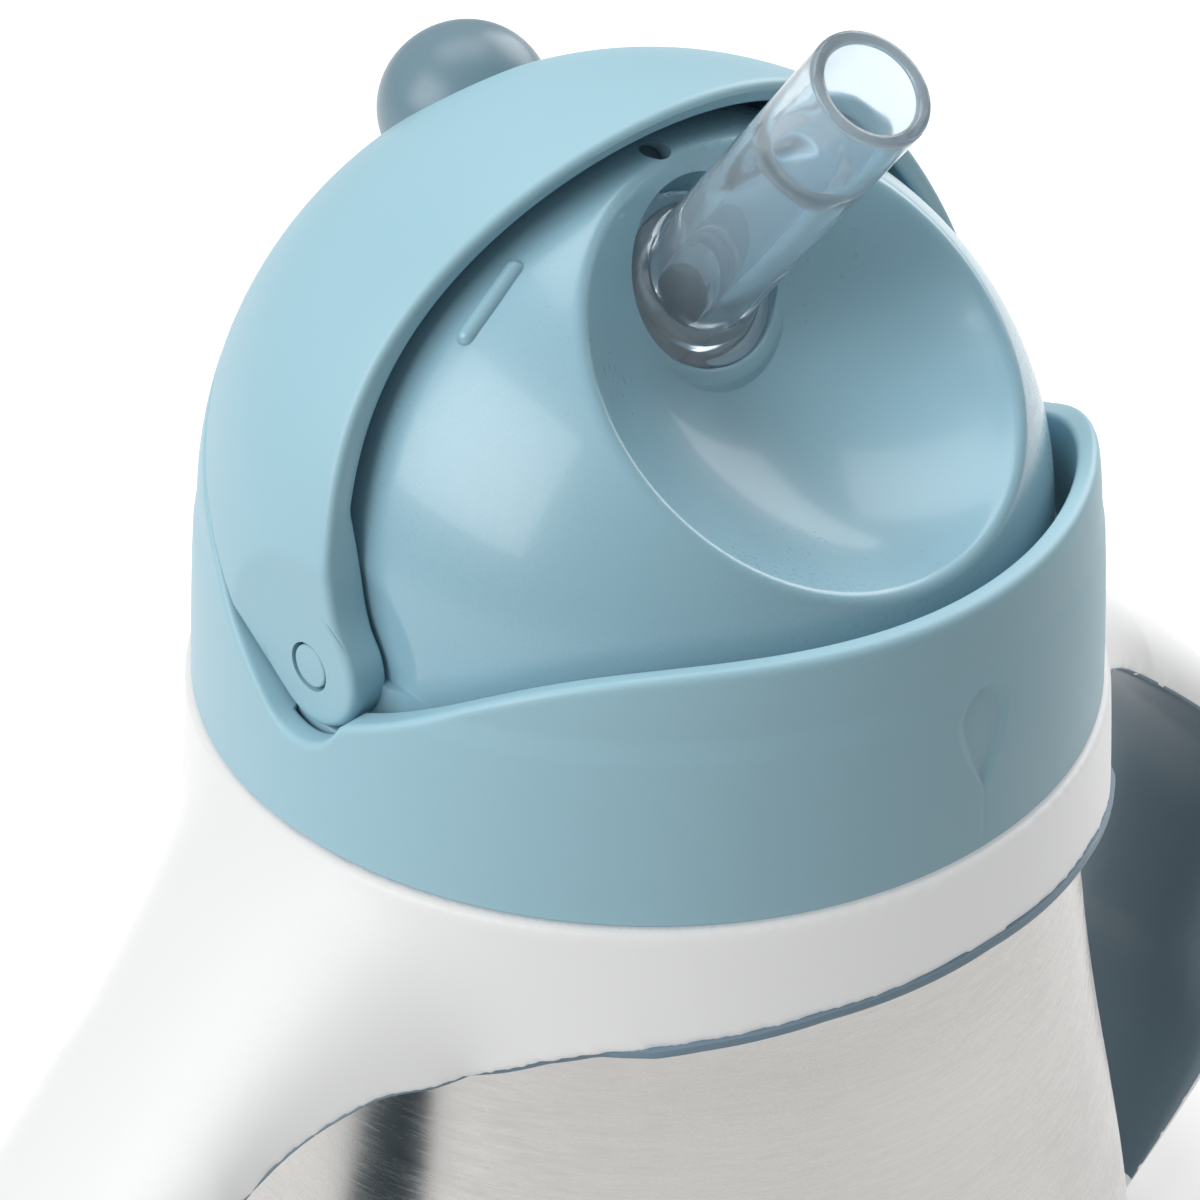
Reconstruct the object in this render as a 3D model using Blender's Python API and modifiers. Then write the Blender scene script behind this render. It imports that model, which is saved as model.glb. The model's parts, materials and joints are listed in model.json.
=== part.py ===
"""Straw cup for a small child: a double-walled steel cup, a ring with two handles, and a screw lid
whose turning cover folds the soft straw away.

The frame: +Z is up, the origin is the middle of the cup's base, the cover turns about an axis along X,
the handles stand at -X and +X, and the child drinks at the front, -Y. Lengths are in metres.
"""

import math

import bmesh
import bpy
from mathutils import Matrix, Vector

MM = 0.001
SMALL_MERGE = 0.00001

# Driving dimensions
SEAT_Z = 83.5 * MM
PIVOT_Z = SEAT_Z + 12.65 * MM
COVER_RADIUS = 32.8 * MM
COVER_INNER = 31.0 * MM
DOME_RADIUS = 29.4 * MM
DOME_INNER = 27.4 * MM
NECK_RADIUS = 30.2 * MM
STEEL_WALL = 0.7 * MM
BASE_RADIUS = 34.2 * MM

# The turning cover and the seam it shares with the collar
CLOSING_ANGLE = math.radians(73)
ARM_RADIUS = 4.6 * MM
ARM_INNER_X = 28.6 * MM
ARM_OUTER_X = 31.7 * MM
ARM_PAD_RADIUS = 12.2 * MM
REAR_SLOPE = math.radians(37.2)
SEAM_GAP = 0.35 * MM
SEAM_FRONT = ((-33 * MM, 6.6 * MM), (-18 * MM, 8 * MM), (-15 * MM, 2.2 * MM), (-4.5 * MM, -2 * MM))
SEAM_STEPS = 14
SKIRT_INNER = 30.2 * MM
SKIRT_OUTER = 31.3 * MM
SKIRT_HALF_WIDTH = 26 * MM
SKIRT_LOW = math.radians(8)
SKIRT_HIGH = math.radians(38)
PIN_RADIUS = 1.6 * MM
PIN_HOLE = 1.85 * MM
KNOB_RADIUS = 6.45 * MM
KNOB_CENTRE = (0, 19.8 * MM, PIVOT_Z + 24.5 * MM)

# The dished front of the dome and the straw's hole in it
DISH_TILT = math.radians(49.4)
DISH_SPHERE = 22.2 * MM
DISH_WALL = 2.0 * MM
DISH_DISTANCE = 38.5 * MM
DOME_FLAT_X = 28.3 * MM
HOLE_TILT = math.radians(51.9)
HOLE_CENTRE = (0, -4.85 * MM, PIVOT_Z + 20.7 * MM)
HOLE_RADIUS = 6.55 * MM
HOLE_LIP = 7.85 * MM
FLANGE_RADIUS = 6.2 * MM
FLANGE_DEPTH = 2.0 * MM

# The straw
STRAW_RADIUS = 4.35 * MM
STRAW_BORE = 2.4 * MM
MOUTH_BORE = 3.45 * MM
MOUTH_BORE_DEPTH = 8 * MM
FOLD_ABOVE_HOLE = 4.65 * MM
STRAW_ABOVE_FOLD = 20.25 * MM
TUBE_RADIUS = 3.5 * MM
ELBOW_END_Z = PIVOT_Z + 3.0 * MM
TUBE_TOP_Z = PIVOT_Z + 1.4 * MM
TUBE_END_Z = SEAT_Z - 76 * MM

# The handles in millimetres about the seat: crown x and z, parting line x and z, half width
HANDLE_ROWS = (
    (28.0, -0.8, 28.0, -13.0, 17.6),
    (34.6, -1.0, 33.6, -14.0, 15.6),
    (42.5, -8.0, 38.8, -14.6, 13.0),
    (50.0, -15.3, 46.4, -19.3, 10.4),
    (63.2, -27.5, 59.8, -31.1, 9.5),
    (71.4, -38.8, 66.9, -40.8, 9.5),
    (74.1, -48.6, 69.2, -48.6, 9.5),
    (72.4, -59.5, 67.7, -58.2, 9.8),
    (67.0, -71.5, 63.4, -68.2, 11.0),
    (49.5, -80.0, 49.0, -76.6, 13.0),
)
HANDLE_STATIONS = 24
GRIP_START = 0.18
GRIP_SWELL_START = 0.16
GRIP_DEPTH = 7.3 * MM
GRIP_GAP = 0.3 * MM
SECTION_STEPS = 12
SECTION_POWER = 2.4
RING_EDGE = ((0, -7.7), (13.2, -8.2), (20.7, -9.2), (25.7, -10.2), (28.5, -11.2), (30.8, -12.7),
             (33.5, -14.2))
LINER_EDGE = ((0, -7.7), (13.2, -8.2), (20.7, -9.2), (25.7, -10.2), (28.0, -11.2), (29.3, -13.3),
              (33.5, -14.4))
LINER_BELOW_RING = 1.0 * MM
LINER_FOOT_GAP = 0.25 * MM

# Fineness of the round shapes
TURN_STEPS = 48
BALL_AROUND = 48
BALL_RINGS = 24
FAR = 60 * MM

scene = bpy.context.scene
PIVOT = Vector((0, 0, PIVOT_Z))
HOLE = Vector(HOLE_CENTRE)
STRAW_AXIS = Vector((0, -math.cos(HOLE_TILT), math.sin(HOLE_TILT)))
FOLD = HOLE + STRAW_AXIS * FOLD_ABOVE_HOLE
TO_STRAW = STRAW_AXIS.to_track_quat("Z", "X").to_matrix()
DISH_CENTRE = PIVOT + Vector((0, -math.cos(DISH_TILT), math.sin(DISH_TILT))) * DISH_DISTANCE


# ---------------------------------------------------------------- shared helpers


def clear_scene():
    for old in list(bpy.data.objects):
        bpy.data.objects.remove(old)


def new_collection(name, hidden=False):
    made = bpy.data.collections.new(name)
    scene.collection.children.link(made)
    made.hide_render = hidden
    return made


clear_scene()
PARTS = new_collection("straw_cup")
CUTTERS = new_collection("cutters", hidden=True)


def material(name, colour, roughness, metallic=0.0, transmission=0.0):
    made = bpy.data.materials.new(name)
    made.use_nodes = True
    shader = made.node_tree.nodes["Principled BSDF"]
    shader.inputs["Base Color"].default_value = (*colour, 1)
    shader.inputs["Roughness"].default_value = roughness
    shader.inputs["Metallic"].default_value = metallic
    shader.inputs["Transmission Weight"].default_value = transmission
    made.diffuse_color = (*colour, 1)
    return made


LID_BLUE = (0.35, 0.58, 0.67)
SOFT_BLUE = (0.10, 0.17, 0.23)
KNOB_BLUE = (0.22, 0.35, 0.43)
WHITE = (0.85, 0.85, 0.84)
STEEL = (0.58, 0.57, 0.55)
CLEAR = (0.86, 0.90, 0.93)


def part(obj, finish):
    """Puts the object with the parts, in its own material and shaded smooth."""
    obj.data.materials.append(finish)
    PARTS.objects.link(obj)
    obj.data.shade_smooth()
    obj.data.set_sharp_from_angle(angle=math.radians(35))
    return obj


def cutter(obj):
    """An object that only shapes other objects."""
    CUTTERS.objects.link(obj)
    obj.hide_render = True
    obj.display_type = "WIRE"
    return obj


def boolean(obj, other, operation="DIFFERENCE"):
    """Adds a Boolean with another object, which becomes a cutter if it is nothing yet."""
    if not other.users_collection:
        cutter(other)
    step = obj.modifiers.new(other.name, "BOOLEAN")
    step.operation = operation
    step.object = other
    step.solver = "EXACT"
    return obj


def from_bmesh(name, shape, location=(0, 0, 0), rotation=None):
    mesh = bpy.data.meshes.new(name)
    shape.to_mesh(mesh)
    shape.free()
    obj = bpy.data.objects.new(name, mesh)
    turn = rotation.to_4x4() if rotation else Matrix.Identity(4)
    obj.matrix_world = Matrix.Translation(location) @ turn
    return obj


def turned(name, profile, location=(0, 0, 0), rotation=None, closed=True, steps=TURN_STEPS):
    """A body turned about Z. A closed profile runs down its outside and back up its inside. An open
    one starts and ends on the axis."""
    shape = bmesh.new()
    corners = [shape.verts.new((radius, 0, height)) for radius, height in profile]
    ends = corners[1:] + corners[:1] if closed else corners[1:]
    for start, end in zip(corners, ends):
        shape.edges.new((start, end))
    obj = from_bmesh(name, shape, location, rotation)
    screw = obj.modifiers.new("turn", "SCREW")
    screw.axis = "Z"
    screw.steps = steps
    screw.render_steps = steps
    screw.use_merge_vertices = True
    screw.merge_threshold = SMALL_MERGE
    screw.use_smooth_shade = True
    return obj


def ball(name, radius, centre):
    """A sphere whose poles lie along X, as the cover's pivots do."""
    shape = bmesh.new()
    bmesh.ops.create_uvsphere(shape, u_segments=BALL_AROUND, v_segments=BALL_RINGS, radius=radius)
    return from_bmesh(name, shape, centre, Matrix.Rotation(math.pi / 2, 3, "Y"))


def rod(name, radius, start, end, segments=32):
    """A cylinder between two points."""
    start = Vector(start)
    along = Vector(end) - start
    shape = bmesh.new()
    bmesh.ops.create_cone(
        shape, cap_ends=True, segments=segments, radius1=radius, radius2=radius, depth=along.length
    )
    return from_bmesh(name, shape, start + along / 2, along.to_track_quat("Z", "Y").to_matrix())


def block(name, low, high):
    low = Vector(low)
    high = Vector(high)
    shape = bmesh.new()
    bmesh.ops.create_cube(shape, size=1)
    bmesh.ops.scale(shape, vec=high - low, verts=shape.verts)
    return from_bmesh(name, shape, (low + high) / 2)


def made_mesh(curve_object):
    """The curve as a mesh with its caps welded, in place of the curve."""
    scene.collection.objects.link(curve_object)
    bpy.context.view_layer.update()
    graph = bpy.context.evaluated_depsgraph_get()
    mesh = bpy.data.meshes.new_from_object(curve_object.evaluated_get(graph))
    shape = bmesh.new()
    shape.from_mesh(mesh)
    bmesh.ops.remove_doubles(shape, verts=shape.verts, dist=SMALL_MERGE)
    bmesh.ops.recalc_face_normals(shape, faces=shape.faces)
    shape.to_mesh(mesh)
    shape.free()
    mesh.materials.clear()
    name = curve_object.name
    place = curve_object.matrix_world.copy()
    bpy.data.objects.remove(curve_object)
    obj = bpy.data.objects.new(name, mesh)
    obj.matrix_world = place
    return obj


def poly_curve(name, points, dimensions, cyclic):
    curve = bpy.data.curves.new(name, "CURVE")
    curve.dimensions = dimensions
    spline = curve.splines.new("POLY")
    spline.points.add(len(points) - 1)
    for target, point in zip(spline.points, points):
        target.co = (*point, 1)
    spline.use_cyclic_u = cyclic
    return bpy.data.objects.new(name, curve)


ALONG_X = Matrix(((0, 0, 1), (1, 0, 0), (0, 1, 0)))
ALONG_Y = Matrix(((1, 0, 0), (0, 0, -1), (0, 1, 0)))


def prism(name, outline, half_width, height, turn=ALONG_X):
    """A flat outline drawn out both ways. Along X the outline holds (y, z), along Y it holds (x, z), and
    its heights count from the given one."""
    obj = poly_curve(name, [(across, up, 0) for across, up in outline], "2D", True)
    obj.data.fill_mode = "BOTH"
    obj.data.extrude = half_width
    obj.matrix_world = Matrix.Translation((0, 0, height)) @ turn.to_4x4()
    return made_mesh(obj)


def pipe(name, points, radius):
    """A solid round bar along a line of points."""
    obj = poly_curve(name, points, "3D", False)
    obj.data.bevel_depth = radius
    obj.data.bevel_resolution = 5
    obj.data.use_fill_caps = True
    return made_mesh(obj)


def arc(centre, radius, first, last, steps):
    """Points on a circle from one angle to another, in degrees."""
    found = []
    for step in range(steps + 1):
        angle = math.radians(first + (last - first) * step / steps)
        found.append((centre[0] + radius * math.cos(angle), centre[1] + radius * math.sin(angle)))
    return found


def bezier(points, steps):
    """Points along a cubic with four control points."""
    found = []
    for step in range(steps + 1):
        t = step / steps
        weights = ((1 - t) ** 3, 3 * t * (1 - t) ** 2, 3 * t**2 * (1 - t), t**3)
        found.append(tuple(sum(w * p[axis] for w, p in zip(weights, points)) for axis in range(2)))
    return found


def smooth_line(rows, steps):
    """Rows of numbers read off evenly along a smooth line through them."""
    found = []
    last = len(rows) - 1
    for step in range(steps + 1):
        place = min(step / steps * last, last - 1e-9)
        index = int(place)
        t = place - index
        near = [rows[min(max(index + offset, 0), last)] for offset in (-1, 0, 1, 2)]
        row = []
        for a, b, c, d in zip(*near):
            bend = 2 * a - 5 * b + 4 * c - d
            twist = -a + 3 * b - 3 * c + d
            row.append(b + 0.5 * t * ((c - a) + t * (bend + t * twist)))
        found.append(row)
    return found


def turned_point(point, angle):
    """A (y, z) point turned about the origin. A positive angle carries the top to the front."""
    y, z = point
    return (y * math.cos(angle) - z * math.sin(angle), y * math.sin(angle) + z * math.cos(angle))


def sphere_arc(radius, high, low, steps):
    """Points down the outside of a sphere about the pivot, between two heights above the pivot."""
    first = math.degrees(math.asin(high / radius))
    last = math.degrees(math.asin(low / radius))
    return arc((0, PIVOT_Z), radius, first, last, steps)


def above_seat(points):
    return [(radius * MM, SEAT_Z + height * MM) for radius, height in points]


# ---------------------------------------------------------------- the cup


def outer_wall():
    """The outside of the steel cup, from the mouth down to the base."""
    points = [(30.2, 5.4), (30.2, -2.3), (31.0, -3.0), (31.6, -4.6), (32.0, -8), (32.7, -13)]
    points += [(33.5, -17.7), (34.8, -26), (36.3, -34), (38.0, -42), (39.6, -50), (41.0, -59)]
    points += [(41.8, -67), (41.9, -73)]
    points += arc((34.5, -75.9), 7.4, 0, -90, 5)
    return above_seat(points)


def inset(profile, wall):
    """The profile moved inwards by a wall's thickness."""
    found = []
    last = len(profile) - 1
    for index, point in enumerate(profile):
        before = profile[max(index - 1, 0)]
        after = profile[min(index + 1, last)]
        inward = Vector((after[1] - before[1], before[0] - after[0])).normalized()
        found.append((point[0] + inward.x * wall, point[1] + inward.y * wall))
    return found


def make_cup():
    outside = outer_wall()
    shell = turned("outer_shell", outside + inset(outside, STEEL_WALL)[::-1])
    part(shell, material("brushed_steel", STEEL, 0.32, metallic=1.0))

    points = [(29.2, 5.2), (29.2, -4), (29.0, -9), (30.2, -20), (32.2, -32), (35.0, -45), (37.2, -57)]
    points += [(37.9, -66)]
    points += arc((29.9, -70.5), 8, 0, -90, 4)
    vessel = above_seat(points)
    inside = inset(vessel, STEEL_WALL)[::-1]
    floor = [(0, inside[0][1])] + inside + vessel + [(0, vessel[-1][1])]
    part(turned("inner_vessel", floor, closed=False), material("inner_steel", STEEL, 0.25, metallic=1.0))

    thick = 0.9 * MM
    base = [(0, thick), (BASE_RADIUS - 0.4 * MM, thick), (BASE_RADIUS, thick - 0.3 * MM)]
    base += [(BASE_RADIUS - 0.5 * MM, 0), (0, 0)]
    part(turned("base_plate", base, closed=False), material("base_steel", STEEL, 0.3, metallic=1.0))


# ---------------------------------------------------------------- the ring and its two handles


def handle_rows():
    """Along one handle: crown point, way in from the crown, depth of the hard part and half width."""
    found = []
    for x, height, inner_x, inner_height, half_width in smooth_line(HANDLE_ROWS, HANDLE_STATIONS):
        crown = Vector((x * MM, 0, SEAT_Z + height * MM))
        across = Vector((inner_x - x, 0, inner_height - height)) * MM
        found.append((crown, across.normalized(), across.length, half_width * MM))
    return found


def half_round(crown, inward, depth, half_width):
    """A section that is flat on its inner side and rounded on its outer side."""
    found = []
    for step in range(SECTION_STEPS + 1):
        angle = math.pi * step / SECTION_STEPS
        across = math.copysign(abs(math.cos(angle)) ** (2 / SECTION_POWER), math.cos(angle))
        rise = math.sin(angle) ** (2 / SECTION_POWER) if 0 < step < SECTION_STEPS else 0
        found.append(crown + inward * depth * (1 - rise) + Vector((0, across * half_width, 0)))
    return found


def loft(name, sections, side):
    """A closed skin over a row of like sections, at +X or, mirrored, at -X."""
    shape = bmesh.new()
    rings = []
    for section in sections:
        rings.append([shape.verts.new((side * point.x, point.y, point.z)) for point in section])
    for ring, following in zip(rings, rings[1:]):
        for index in range(len(ring)):
            beyond = (index + 1) % len(ring)
            shape.faces.new((ring[index], ring[beyond], following[beyond], following[index]))
    shape.faces.new(rings[0])
    shape.faces.new(rings[-1])
    bmesh.ops.recalc_face_normals(shape, faces=shape.faces)
    return from_bmesh(name, shape)


def grip_depth(progress):
    """How deep the soft grip stands under the hard part. It starts as a thin lip and swells further down."""
    rise = min(max(progress - GRIP_SWELL_START, 0) / 0.3, 1)
    fall = min((1 - progress) / 0.28, 1)
    ease = math.sin(rise * math.pi / 2) * math.sin(fall * math.pi / 2)
    return GRIP_DEPTH * (0.12 + 0.88 * ease)


def beyond_edge(name, edge, lowered, far):
    """Everything over or under a line that runs a little under one of the ring's lower edges."""
    line = [(x * MM, height * MM - lowered) for x, height in edge]
    right = line + [(FAR, line[-1][1]), (FAR, far)]
    left = [(-x, height) for x, height in reversed(right[1:])]
    return prism(name, right + left, FAR, SEAT_Z, ALONG_Y)


def make_handles():
    outer = [(34.0, -0.3), (34.5, -0.7), (34.8, -2), (35.2, -8), (35.8, -13), (36.6, -18), (37.4, -24)]
    solid = above_seat([(0, -0.3)] + outer + [(0, -24)])
    shell = turned("handle_shell", solid, closed=False)
    boolean(shell, beyond_edge("below_ring", RING_EDGE, 0, -FAR))
    for side, name in ((1, "right"), (-1, "left")):
        rows = handle_rows()
        hard = loft(name + "_handle", [half_round(*row) for row in rows], side)
        boolean(shell, hard, "UNION")
        first = int(GRIP_START * HANDLE_STATIONS)
        sections = []
        for index in range(first, HANDLE_STATIONS):
            crown, inward, depth, half_width = rows[index]
            progress = (index - first) / (HANDLE_STATIONS - 1 - first)
            under = grip_depth(progress)
            lowest = crown + inward * (depth + GRIP_GAP + under)
            sections.append(half_round(lowest, -inward, under, half_width - GRIP_GAP))
        grip = loft(name + "_grip", sections, side)
        part(grip, material(name + "_grip_soft", SOFT_BLUE, 0.55))
    bore = [(30.5, 1), (30.5, -2.0), (33.3, -2.0), (33.3, -8), (34.05, -13), (34.85, -17.7), (36.3, -27)]
    boolean(shell, turned("ring_bore", above_seat([(0, 1)] + bore + [(0, -27)]), closed=False))
    part(shell, material("white_plastic", WHITE, 0.25))

    outside = above_seat([(33.0, -2.3), (33.0, -8), (33.75, -13), (34.55, -17.7)])
    inside = above_seat([(33.8, -17.7), (33.05, -13), (32.35, -8), (32.35, -2.3)])
    liner = turned("ring_liner", outside + inside)
    foot_out = above_seat([(34.45, -2), (34.85, -8), (35.45, -13), (36.1, -17.7)])
    foot_in = above_seat([(34.2, -17.7), (33.45, -13), (32.75, -8), (32.75, -2)])
    foot = turned("liner_foot", foot_out + foot_in)
    boolean(foot, beyond_edge("above_foot", LINER_EDGE, LINER_FOOT_GAP, FAR))
    boolean(liner, foot, "UNION")
    boolean(liner, beyond_edge("below_liner", LINER_EDGE, LINER_BELOW_RING, -FAR))
    part(liner, material("soft_liner", SOFT_BLUE, 0.5))


# ---------------------------------------------------------------- the seam between cover and collar


def seam_front(raised):
    """The front seam, as (y, z) about the pivot with the cover closed, raised along its normal."""
    line = bezier(SEAM_FRONT, SEAM_STEPS)
    found = []
    for index, point in enumerate(line):
        before = line[max(index - 1, 0)]
        after = line[min(index + 1, SEAM_STEPS)]
        across = Vector((before[1] - after[1], after[0] - before[0])).normalized()
        found.append((point[0] + across.x * raised, point[1] + across.y * raised))
    return found


def around_pivot(radius, start):
    """An arc under the pivot, from a point's direction to where the rear seam leaves it."""
    first = math.degrees(math.atan2(start[1], start[0])) % 360
    last = 270 + math.degrees(REAR_SLOPE)
    return arc((0, 0), radius, first, last, 16)


def rear_seam_end(radius):
    """A far point on the rear seam, which is tangent to the arc under the pivot."""
    return (FAR, FAR * math.tan(REAR_SLOPE) - radius / math.cos(REAR_SLOPE))


def saddle_outline():
    """All that lies above the collar's top edge."""
    front = seam_front(0)
    radius = ARM_RADIUS + SEAM_GAP
    edge = front[:-1] + around_pivot(radius, front[-1])
    return [(-FAR, front[0][1])] + edge + [rear_seam_end(radius), (FAR, 2 * FAR), (-FAR, 2 * FAR)]


def cover_outline():
    """The cover seen from its side, open."""
    front = [turned_point(point, -CLOSING_ANGLE) for point in seam_front(SEAM_GAP)]
    edge = front[:-1] + around_pivot(ARM_RADIUS, front[-1])
    return [(front[0][0], FAR)] + edge + [rear_seam_end(ARM_RADIUS), (FAR, FAR)]


def skirt_outline():
    """The wedge behind the pivot that the cover's thin rear skirt fills."""
    low = (FAR * math.cos(SKIRT_LOW), FAR * math.sin(SKIRT_LOW))
    high = (FAR * math.cos(SKIRT_HIGH), FAR * math.sin(SKIRT_HIGH))
    start = 4 * MM
    return [(start, start * math.tan(SKIRT_LOW)), low, high, (start, start * math.tan(SKIRT_HIGH))]


# ---------------------------------------------------------------- the lid


def make_collar():
    outside = sphere_arc(COVER_RADIUS, 17.35 * MM, 1.85 * MM, 6)
    outside += above_seat([(33.1, 12.8), (33.35, 10.2), (33.6, 6.8), (33.83, 3.4), (34.0, 0.4), (33.7, 0)])
    inside = above_seat([(31.5, 0), (31.5, 8.3), (29.7, 8.3), (29.7, 9.3), (30.6, 9.3), (30.6, 14.5)])
    inside += sphere_arc(31.6 * MM, 17.35 * MM, 7.85 * MM, 4)[::-1]
    collar = turned("collar", outside + inside)
    boolean(collar, prism("saddle", saddle_outline(), FAR, PIVOT_Z))
    pocket = ball("rear_pocket", 31.6 * MM, PIVOT)
    boolean(pocket, block("rear_half", (-FAR, -1 * MM, PIVOT_Z - 1.5 * MM), (FAR, FAR, PIVOT_Z + FAR)), "INTERSECT")
    boolean(collar, pocket)
    part(collar, material("lid_plastic", LID_BLUE, 0.45))


def along_straw(distance):
    return HOLE + STRAW_AXIS * distance


def make_dome():
    outside = [(0, PIVOT_Z + DOME_RADIUS)]
    outside += arc((0, PIVOT_Z), DOME_RADIUS, 82.5, 0, 11)
    outside += above_seat([(29.4, 8.0), (31.2, 8.0), (31.2, 7.0), (27.4, 7.0)])
    inside = arc((0, PIVOT_Z), DOME_INNER, 0, 82.5, 11) + [(0, PIVOT_Z + DOME_INNER)]
    dome = turned("dome", outside + inside, closed=False)

    within = DOME_INNER + 1 * MM
    back = ball("dish_back", DISH_SPHERE + DISH_WALL, DISH_CENTRE)
    boolean(back, ball("within_dome", within, PIVOT), "INTERSECT")
    boolean(dome, back, "UNION")
    boss = rod("hole_boss", HOLE_LIP, along_straw(-4.3 * MM), along_straw(6 * MM))
    boolean(boss, ball("within_dome_again", within, PIVOT), "INTERSECT")
    boolean(dome, boss, "UNION")
    boolean(dome, ball("dish", DISH_SPHERE, DISH_CENTRE))
    boolean(dome, rod("hole_lip", HOLE_LIP, along_straw(-4.25 * MM), along_straw(0)), "UNION")
    boolean(dome, rod("hole_seat", HOLE_RADIUS, along_straw(-FLANGE_DEPTH - 0.3 * MM), along_straw(14 * MM)))
    boolean(dome, rod("hole_through", STRAW_RADIUS + 0.3 * MM, along_straw(-12 * MM), along_straw(0)))

    for side in (-1, 1):
        low = (side * DOME_FLAT_X, -9 * MM, PIVOT_Z - 6 * MM)
        high = (side * FAR, 9 * MM, PIVOT_Z + 9 * MM)
        corners = sorted((low, high))
        boolean(dome, block("arm_flat", *corners))
        boss = rod("pin_boss", 3.6 * MM, (side * 23.8 * MM, 0, PIVOT_Z), (side * 27.9 * MM, 0, PIVOT_Z))
        boolean(dome, boss, "UNION")
        start = Vector((side * 19.9, -1.8, 21.6)) * 0.99 * MM
        end = Vector((side * 14.1, -2.7, 25.65)) * 0.99 * MM
        boolean(dome, pipe("detent_bar", [PIVOT + start, PIVOT + end], 0.65 * MM), "UNION")
    boolean(dome, rod("pin_hole", PIN_HOLE, (-FAR, 0, PIVOT_Z), (FAR, 0, PIVOT_Z)))
    vent = PIVOT + Vector((-1.2, -1.5, 29.35)) * MM
    boolean(dome, rod("vent_hole", 1.0 * MM, vent - STRAW_AXIS * 12 * MM, vent + STRAW_AXIS * 3 * MM, 16))
    part(dome, material("dome_plastic", LID_BLUE, 0.12))

    plug = rod("vent_valve", 0.7 * MM, vent - STRAW_AXIS * 2.2 * MM, vent - STRAW_AXIS * 0.6 * MM, 16)
    part(plug, material("valve_silicone", CLEAR, 0.3, transmission=0.6))
    seal = above_seat([(31.0, 6.7), (31.0, 5.7), (27.6, 5.7), (27.6, 6.7)])
    part(turned("lid_gasket", seal), material("gasket_silicone", CLEAR, 0.4, transmission=0.4))


def make_cover():
    outline = cover_outline()
    cover = ball("cover", COVER_RADIUS, PIVOT)
    boolean(cover, ball("cover_hollow", COVER_INNER, PIVOT))
    boolean(cover, prism("cover_side", outline, FAR, PIVOT_Z), "INTERSECT")
    skirt = ball("skirt", SKIRT_OUTER, PIVOT)
    boolean(skirt, ball("skirt_hollow", SKIRT_INNER, PIVOT))
    boolean(skirt, prism("skirt_side", skirt_outline(), SKIRT_HALF_WIDTH, PIVOT_Z), "INTERSECT")
    boolean(cover, skirt, "UNION")
    for side in (-1, 1):
        inner = (side * ARM_INNER_X, 0, PIVOT_Z)
        pad = rod("arm_pad", ARM_PAD_RADIUS, inner, (side * (ARM_OUTER_X + 0.1 * MM), 0, PIVOT_Z), 48)
        boolean(pad, prism("pad_side", outline, FAR, PIVOT_Z), "INTERSECT")
        boolean(pad, ball("within_cover", COVER_RADIUS - 0.05 * MM, PIVOT), "INTERSECT")
        boolean(cover, pad, "UNION")
        low = (side * ARM_OUTER_X, -FAR, PIVOT_Z - FAR)
        high = (side * FAR, FAR, PIVOT_Z + FAR)
        boolean(cover, block("arm_face", *sorted((low, high))))
    boolean(cover, rod("cover_pin_hole", PIN_HOLE, (-FAR, 0, PIVOT_Z), (FAR, 0, PIVOT_Z)))
    part(cover, material("cover_plastic", LID_BLUE, 0.5))

    for side, name in ((-1, "left"), (1, "right")):
        ends = ((side * 24.2 * MM, 0, PIVOT_Z), (side * 31.5 * MM, 0, PIVOT_Z))
        pin = rod("pivot_pin_" + name, PIN_RADIUS, *ends, 24)
        part(pin, material(name + "_pin_plastic", LID_BLUE, 0.45))

    knob = ball("thumb_knob", KNOB_RADIUS, KNOB_CENTRE)
    boolean(knob, ball("knob_seat", COVER_RADIUS + 0.3 * MM, PIVOT))
    part(knob, material("knob_soft", KNOB_BLUE, 0.4))


# ---------------------------------------------------------------- the straw


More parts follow.
